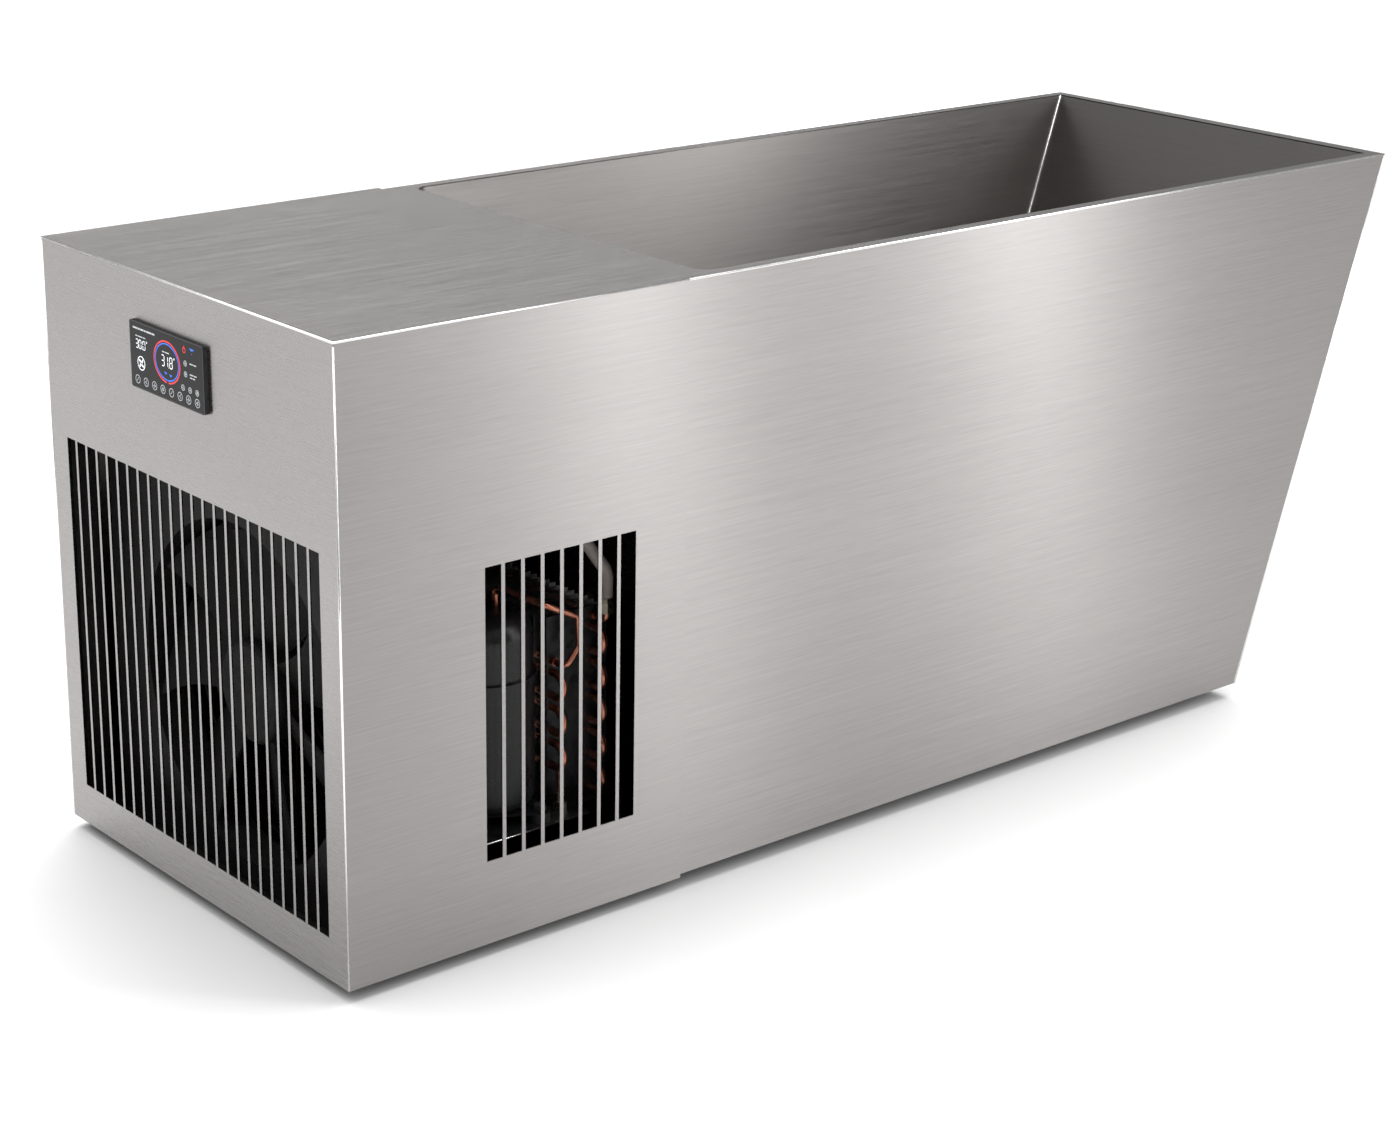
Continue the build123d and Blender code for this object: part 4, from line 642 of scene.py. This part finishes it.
@dataclass
class DisplayMarks:
    """What the temperature display shows: two numbers, rings and round key marks."""

    shelf: FinishShelf
    lift: float = 0.12 * MM
    digit_gap: float = 0.12
    digit_weight: float = 0.17
    digit_pitch: float = 1.38
    point_shift: float = 0.35
    degree: tuple[float, float] = (1.1, 0.45)
    key_line: float = 0.7
    key_stroke: float = 0.9
    key_reach: tuple[float, float] = (0.12, 0.52)
    dash_gap: float = 1.1

    def __post_init__(self) -> None:
        """Reads where the glass is."""
        low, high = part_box("display_glass")
        self.face = low.x
        self.middle = (low + high) / 2
        self.width = high.y - low.y
        self.height = high.z - low.z

    def at(self, across: float, up: float) -> Vector:
        """Finds a point on the glass.

        Args:
            across: Millimetres to the right of the glass's middle.
            up: Millimetres above it.

        Returns:
            The point, in metres.
        """
        return Vector((self.face - self.lift, self.middle.y - across * MM, self.middle.z + up * MM))

    def stroke_line(self, shaper: Shaper, start: tuple[float, float], end: tuple[float, float],
                    width: float) -> None:
        """Adds one straight stroke.

        Args:
            shaper: The piece it belongs to.
            start: One end, in millimetres from the glass's middle.
            end: The other end.
            width: The stroke's width in millimetres.
        """
        along = Vector((end[0] - start[0], end[1] - start[1]))
        side = Vector((-along.y, along.x)).normalized() * width / 2
        corners = [(start[0] + side.x, start[1] + side.y), (end[0] + side.x, end[1] + side.y),
                   (end[0] - side.x, end[1] - side.y), (start[0] - side.x, start[1] - side.y)]
        shaper.plate([self.at(*corner) for corner in corners], Vector((self.lift, 0, 0)))

    def ring(self, shaper: Shaper, centre: tuple[float, float], radii: tuple[float, float], width: float,
             opening: float = 0.0, sides: int = 48) -> None:
        """Adds a ring or an open arc.

        Args:
            shaper: The piece it belongs to.
            centre: Its middle, in millimetres from the glass's middle.
            radii: Its half width and half height.
            width: The line's width.
            opening: The angle left open at the bottom, in radians.
            sides: How many straight runs it has.
        """
        start = -math.pi / 2 + opening / 2
        sweep = 2 * math.pi - opening
        steps = sides + (1 if opening else 0)
        rings = []
        for n in range(steps):
            angle = start + sweep * n / sides
            direction = Vector((math.cos(angle), math.sin(angle)))
            outer = (centre[0] + direction.x * radii[0], centre[1] + direction.y * radii[1])
            inner = (centre[0] + direction.x * (radii[0] - width),
                     centre[1] + direction.y * (radii[1] - width))
            back = Vector((self.lift, 0, 0))
            points = [self.at(*outer), self.at(*inner)]
            rings.append([points[0], points[1], points[1] + back, points[0] + back])
        shaper.skin(rings, closed=not opening)

    def digit(self, shaper: Shaper, number: int, left: float, low: float, size: tuple[float, float]) -> None:
        """Adds one seven-stroke digit.

        Args:
            shaper: The piece it belongs to.
            number: The digit.
            left: Its left edge, in millimetres from the glass's middle.
            low: Its lower edge.
            size: Its width and height.
        """
        width, height = size
        right, top, waist = left + width, low + height, low + height / 2
        strokes = {"a": ((left, top), (right, top)), "b": ((right, top), (right, waist)),
                   "c": ((right, waist), (right, low)), "d": ((left, low), (right, low)),
                   "e": ((left, waist), (left, low)), "f": ((left, top), (left, waist)),
                   "g": ((left, waist), (right, waist))}
        shown = {0: "abcdef", 1: "bc", 3: "abcdg", 8: "abcdefg"}[number]
        for letter in shown:
            start, end = strokes[letter]
            gap = self.digit_gap * width
            run = Vector((end[0] - start[0], end[1] - start[1])).normalized() * gap
            self.stroke_line(shaper, (start[0] + run.x, start[1] + run.y), (end[0] - run.x, end[1] - run.y),
                             self.digit_weight * width)

    def reading(self, shaper: Shaper, digits: tuple[int, int, int], left: float, low: float,
                size: tuple[float, float]) -> None:
        """Adds a temperature with one decimal and its degree ring.

        Args:
            shaper: The piece it belongs to.
            digits: Its three digits.
            left: Its left edge, in millimetres from the glass's middle.
            low: Its lower edge.
            size: The width and height of a digit.
        """
        pitch = self.digit_pitch * size[0]
        for place, number in enumerate(digits):
            extra = self.point_shift * size[0] if place == 2 else 0.0
            self.digit(shaper, number, left + place * pitch + extra, low, size)
        dot = left + 2 * pitch + 0.02 * size[0]
        self.stroke_line(shaper, (dot - 0.5, low), (dot + 0.5, low), 1.0)
        radius, line = self.degree
        self.ring(shaper, (left + 3 * pitch + 0.7 * size[0], low + size[1]), (radius, radius), line, sides=16)

    def key(self, shaper: Shaper, centre: tuple[float, float], spokes: int, radius: float = 5.0) -> None:
        """Adds one round key mark with a few strokes inside it.

        Args:
            shaper: The piece it belongs to.
            centre: Its middle, in millimetres from the glass's middle.
            spokes: How many strokes it has.
            radius: Its radius.
        """
        self.ring(shaper, centre, (radius, radius), self.key_line, sides=28)
        for n in range(spokes):
            angle = 2 * math.pi * n / spokes + 0.4 * spokes
            across, up = radius * math.cos(angle), radius * math.sin(angle)
            ends = [(centre[0] + share * across, centre[1] + share * up) for share in self.key_reach]
            self.stroke_line(shaper, *ends, self.key_stroke)

    def dashes(self, shaper: Shaper, left: float, level: float, lengths: tuple[float, ...],
               width: float) -> None:
        """Adds a row of short plain dashes, where a heading or a label would stand.

        Args:
            shaper: The piece they belong to.
            left: Where the row starts, in millimetres from the glass's middle.
            level: The row's height.
            lengths: The dashes' lengths.
            width: Their width.
        """
        place = left
        for length in lengths:
            self.stroke_line(shaper, (place, level), (place + length, level), width)
            place += length + self.dash_gap

    def build(self) -> None:
        """Makes the marks, one piece for each colour."""
        red = Shaper("display_red")
        dial = (1.5, 5.0)
        self.ring(red, dial, (28.0, 24.0), 1.7, opening=0.14, sides=72)
        self.ring(red, (38.5, 26.5), (3.0, 3.4), 0.9, sides=20)
        self.stroke_line(red, (38.5, 28.0), (38.5, 31.5), 1.0)
        blue = Shaper("display_blue")
        self.ring(blue, dial, (25.0, 21.0), 1.4, sides=72)
        for left, level in ((-5.5, -6.5), (5.0, -7.5)):
            shape = [(left, level), (left + 6.5, level - 0.5), (left + 4.0, level - 3.0)]
            blue.plate([self.at(*point) for point in shape], Vector((self.lift, 0, 0)))
        for reach, width in ((2.0, 1.2), (4.4, 1.2)):
            self.stroke_line(blue, (54.5 - reach, 28.0 + reach / 2), (54.5 + reach, 28.0 + reach / 2), width)
        self.stroke_line(blue, (54.0, 25.2), (55.0, 25.2), 1.2)
        white = Shaper("display_white")
        self.reading(white, (3, 1, 8), -9.6, -0.5, (5.4, 12.0))
        self.reading(white, (3, 0, 0), -64.0, 8.5, (4.8, 9.5))
        fan = (-54.0, -8.0)
        self.ring(white, fan, (8.0, 8.0), 0.9, sides=36)
        for n in range(4):
            angle = math.pi / 2 * n + 0.4
            hub = (fan[0] + 1.4 * math.cos(angle), fan[1] + 1.4 * math.sin(angle))
            tip = (fan[0] + 5.6 * math.cos(angle + 0.5), fan[1] + 5.6 * math.sin(angle + 0.5))
            self.stroke_line(white, hub, tip, 2.0)
        dim = Shaper("display_dim")
        self.dashes(dim, -69.0, 30.5, (9.0, 4.5, 7.0, 3.5, 10.5, 6.0), 2.0)
        self.dashes(dim, -64.0, 22.0, (4.5, 9.0, 5.0), 1.3)
        self.dashes(dim, -8.0, 15.5, (5.0, 8.5), 1.3)
        for n in range(8):
            self.key(dim, (-63.0 + n * 17.9, -27.6), 2 + n % 4)
        for n in range(3):
            self.key(dim, (33.5 + n * 14.6, -16.2), 3 + n, 3.4)
        for level in (12.0, 0.0):
            self.key(dim, (40.0, level), 4, 3.2)
            self.dashes(dim, 49.0, level + 1.5, (7.0, 5.5), 1.3)
        self.dashes(dim, 49.0, -2.0, (5.0, 4.0), 1.3)
        for shaper, finish in ((red, RED_LIGHT), (blue, BLUE_LIGHT), (white, WHITE_LIGHT), (dim, DIM_LIGHT)):
            self.shelf.dress(shaper.finish(Body.ROOT, "display_glass"), finish)


@dataclass
class LeverGrip:
    """The ribbed vinyl sleeve on the drain valve's lever."""

    shelf: FinishShelf
    sections: int = 46
    sides: int = 24
    wall: float = 1.6 * MM
    half_width: float = 9 * MM
    half_thick: float = 1.5 * MM
    bare_share: float = 0.36
    ribs: int = 14
    rib_height: float = 0.25 * MM
    tip_from: float = 0.86
    squareness: float = 0.7

    def squared(self, share: float) -> float:
        """Turns a circle's sine or cosine into a squarer oval's.

        Args:
            share: The sine or cosine.

        Returns:
            The same for the squarer oval.
        """
        return math.copysign(abs(share) ** self.squareness, share)

    def build(self) -> None:
        """Makes the sleeve over the outer two thirds of the lever."""
        low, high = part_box("drain_lever")
        joint = next(j for j in frame["joints"] if j["name"] == "drain_valve_turn")
        up = -Vector(joint["axis"]).normalized()
        out = Vector((up.z, 0, -up.x))
        middle = (low + high) / 2
        start = low.y + (high.y - low.y) * self.bare_share
        length = high.y + self.wall - start
        shaper = Shaper("lever_grip")
        rings = []
        for n in range(self.sections):
            share = n / (self.sections - 1)
            rib = self.rib_height * math.cos(share * self.ribs * 2 * math.pi)
            into_tip = max(0.0, (share - self.tip_from) / (1 - self.tip_from))
            tip = math.sqrt(max(0.0, 1 - into_tip ** 2))
            wide = (self.half_width + self.wall + rib) * max(tip, 0.08)
            thick = (self.half_thick + self.wall + rib) * max(tip, 0.3)
            ring = []
            for k in range(self.sides):
                angle = 2 * math.pi * k / self.sides
                x = self.squared(math.cos(angle)) * wide
                z = self.squared(math.sin(angle)) * thick
                ring.append(Vector((middle.x, start + share * length, middle.z)) + out * x + up * z)
            rings.append(ring)
        shaper.skin(rings)
        self.shelf.dress(shaper.finish(Body.VALVE, "red_plastic", smooth=True), GRIP_VINYL)


# ---------------------------------------------------------------- studio
@dataclass(frozen=True)
class Softbox:
    """One studio light."""

    name: str
    place: tuple[float, float, float]
    aim: tuple[float, float, float]
    size: tuple[float, float]
    watts: float
    colour: Colour = (1.0, 1.0, 1.0)

    def build(self) -> None:
        """Hangs the light."""
        data = bpy.data.lights.new(self.name, "AREA")
        data.shape = "RECTANGLE"
        data.size, data.size_y = self.size
        data.energy = self.watts
        data.color = self.colour
        lamp = bpy.data.objects.new(self.name, data)
        lamp.location = self.place
        direction = Vector(self.aim) - Vector(self.place)
        lamp.rotation_euler = direction.to_track_quat("-Z", "Y").to_euler()
        bpy.context.scene.collection.objects.link(lamp)


@dataclass
class Studio:
    """A pale floor, soft lights and the camera."""

    shelf: FinishShelf
    camera_place: tuple[float, float, float] = (-2.3881, -2.6602, 1.4700)
    camera_right: tuple[float, float, float] = (0.7623, -0.6470, 0.0167)
    camera_up: tuple[float, float, float] = (0.1980, 0.2577, 0.9457)
    lens: float = 74.53
    sensor: float = 36.0
    floor_half: float = 60.0
    floor_drop: float = 0.5 * MM
    horizon_grey: float = 0.26
    ceiling_grey: float = 0.70
    ceiling_from_height: float = 0.7
    ceiling_strength: float = 3.1
    ceiling_spread: float = 56.0
    ceiling_from: tuple[float, float, float] = (0.35, 0.2, 1.0)

    def floor(self) -> None:
        """Lays the floor."""
        shaper = Shaper("floor")
        h = self.floor_half
        corners = [Vector((x * h, y * h, -self.floor_drop)) for x, y in ((-1, -1), (1, -1), (1, 1), (-1, 1))]
        made = [shaper.mesh.verts.new(corner) for corner in corners]
        shaper.mesh.faces.new(made)
        data = bpy.data.meshes.new("floor")
        shaper.mesh.to_mesh(data)
        shaper.mesh.free()
        ground = bpy.data.objects.new("floor", data)
        bpy.context.scene.collection.objects.link(ground)
        self.shelf.dress(ground, FLOOR_PAPER)

    def lights(self) -> None:
        """Hangs the lights and sets the room's grey."""
        world = bpy.data.worlds.new("studio_room")
        world.use_nodes = True
        nodes, links = world.node_tree.nodes, world.node_tree.links
        place = nodes.new("ShaderNodeTexCoord")
        split = nodes.new("ShaderNodeSeparateXYZ")
        height = nodes.new("ShaderNodeMapRange")
        height.interpolation_type = "SMOOTHSTEP"
        for name, number in (("From Min", 0.0), ("From Max", self.ceiling_from_height),
                             ("To Min", self.horizon_grey), ("To Max", self.ceiling_grey)):
            height.inputs[name].default_value = number
        links.new(place.outputs["Generated"], split.inputs[0])
        links.new(split.outputs["Z"], height.inputs["Value"])
        links.new(height.outputs[0], nodes["Background"].inputs["Color"])
        bpy.context.scene.world = world
        sun = bpy.data.lights.new("ceiling", "SUN")
        sun.energy = self.ceiling_strength
        sun.angle = math.radians(self.ceiling_spread)
        lamp = bpy.data.objects.new("ceiling", sun)
        lamp.rotation_euler = Vector(self.ceiling_from).to_track_quat("Z", "Y").to_euler()
        bpy.context.scene.collection.objects.link(lamp)
        for box in (
            Softbox("first_strip", (1.327, -2.56, 1.9), (-0.4, -0.3, 0.35), (0.26, 3.8), 25.0),
            Softbox("second_strip", (2.715, -2.73, 1.9), (0.4, -0.3, 0.35), (0.26, 3.8), 31.0),
            Softbox("front_fill", (-1.9, 0.3, 2.3), (-1.7, 0.2, 0.0), (1.8, 1.8), 22.0),
        ):
            box.build()

    def camera(self) -> None:
        """Sets the camera."""
        data = bpy.data.cameras.new("view")
        data.sensor_width = self.sensor
        data.lens = self.lens
        eye = bpy.data.objects.new("view", data)
        right, up = Vector(self.camera_right), Vector(self.camera_up)
        back = right.cross(up)
        turn = Matrix((right, up, back)).transposed().to_4x4()
        eye.matrix_world = Matrix.Translation(self.camera_place) @ turn
        bpy.context.scene.collection.objects.link(eye)
        bpy.context.scene.camera = eye

    def build(self) -> None:
        """Sets up the whole studio."""
        bpy.context.scene.view_settings.view_transform = "Standard"
        self.floor()
        self.lights()
        self.camera()


def main() -> None:
    """Dresses the tub and sets up the studio."""
    logging.basicConfig(level=logging.INFO, format="%(name)s: %(message)s")
    shelf = FinishShelf()
    shelf.dress_frame()
    EdgeBeads(shelf).build()
    DisplayMarks(shelf).build()
    LeverGrip(shelf).build()
    Studio(shelf).build()


if __name__ == "__main__":
    main()
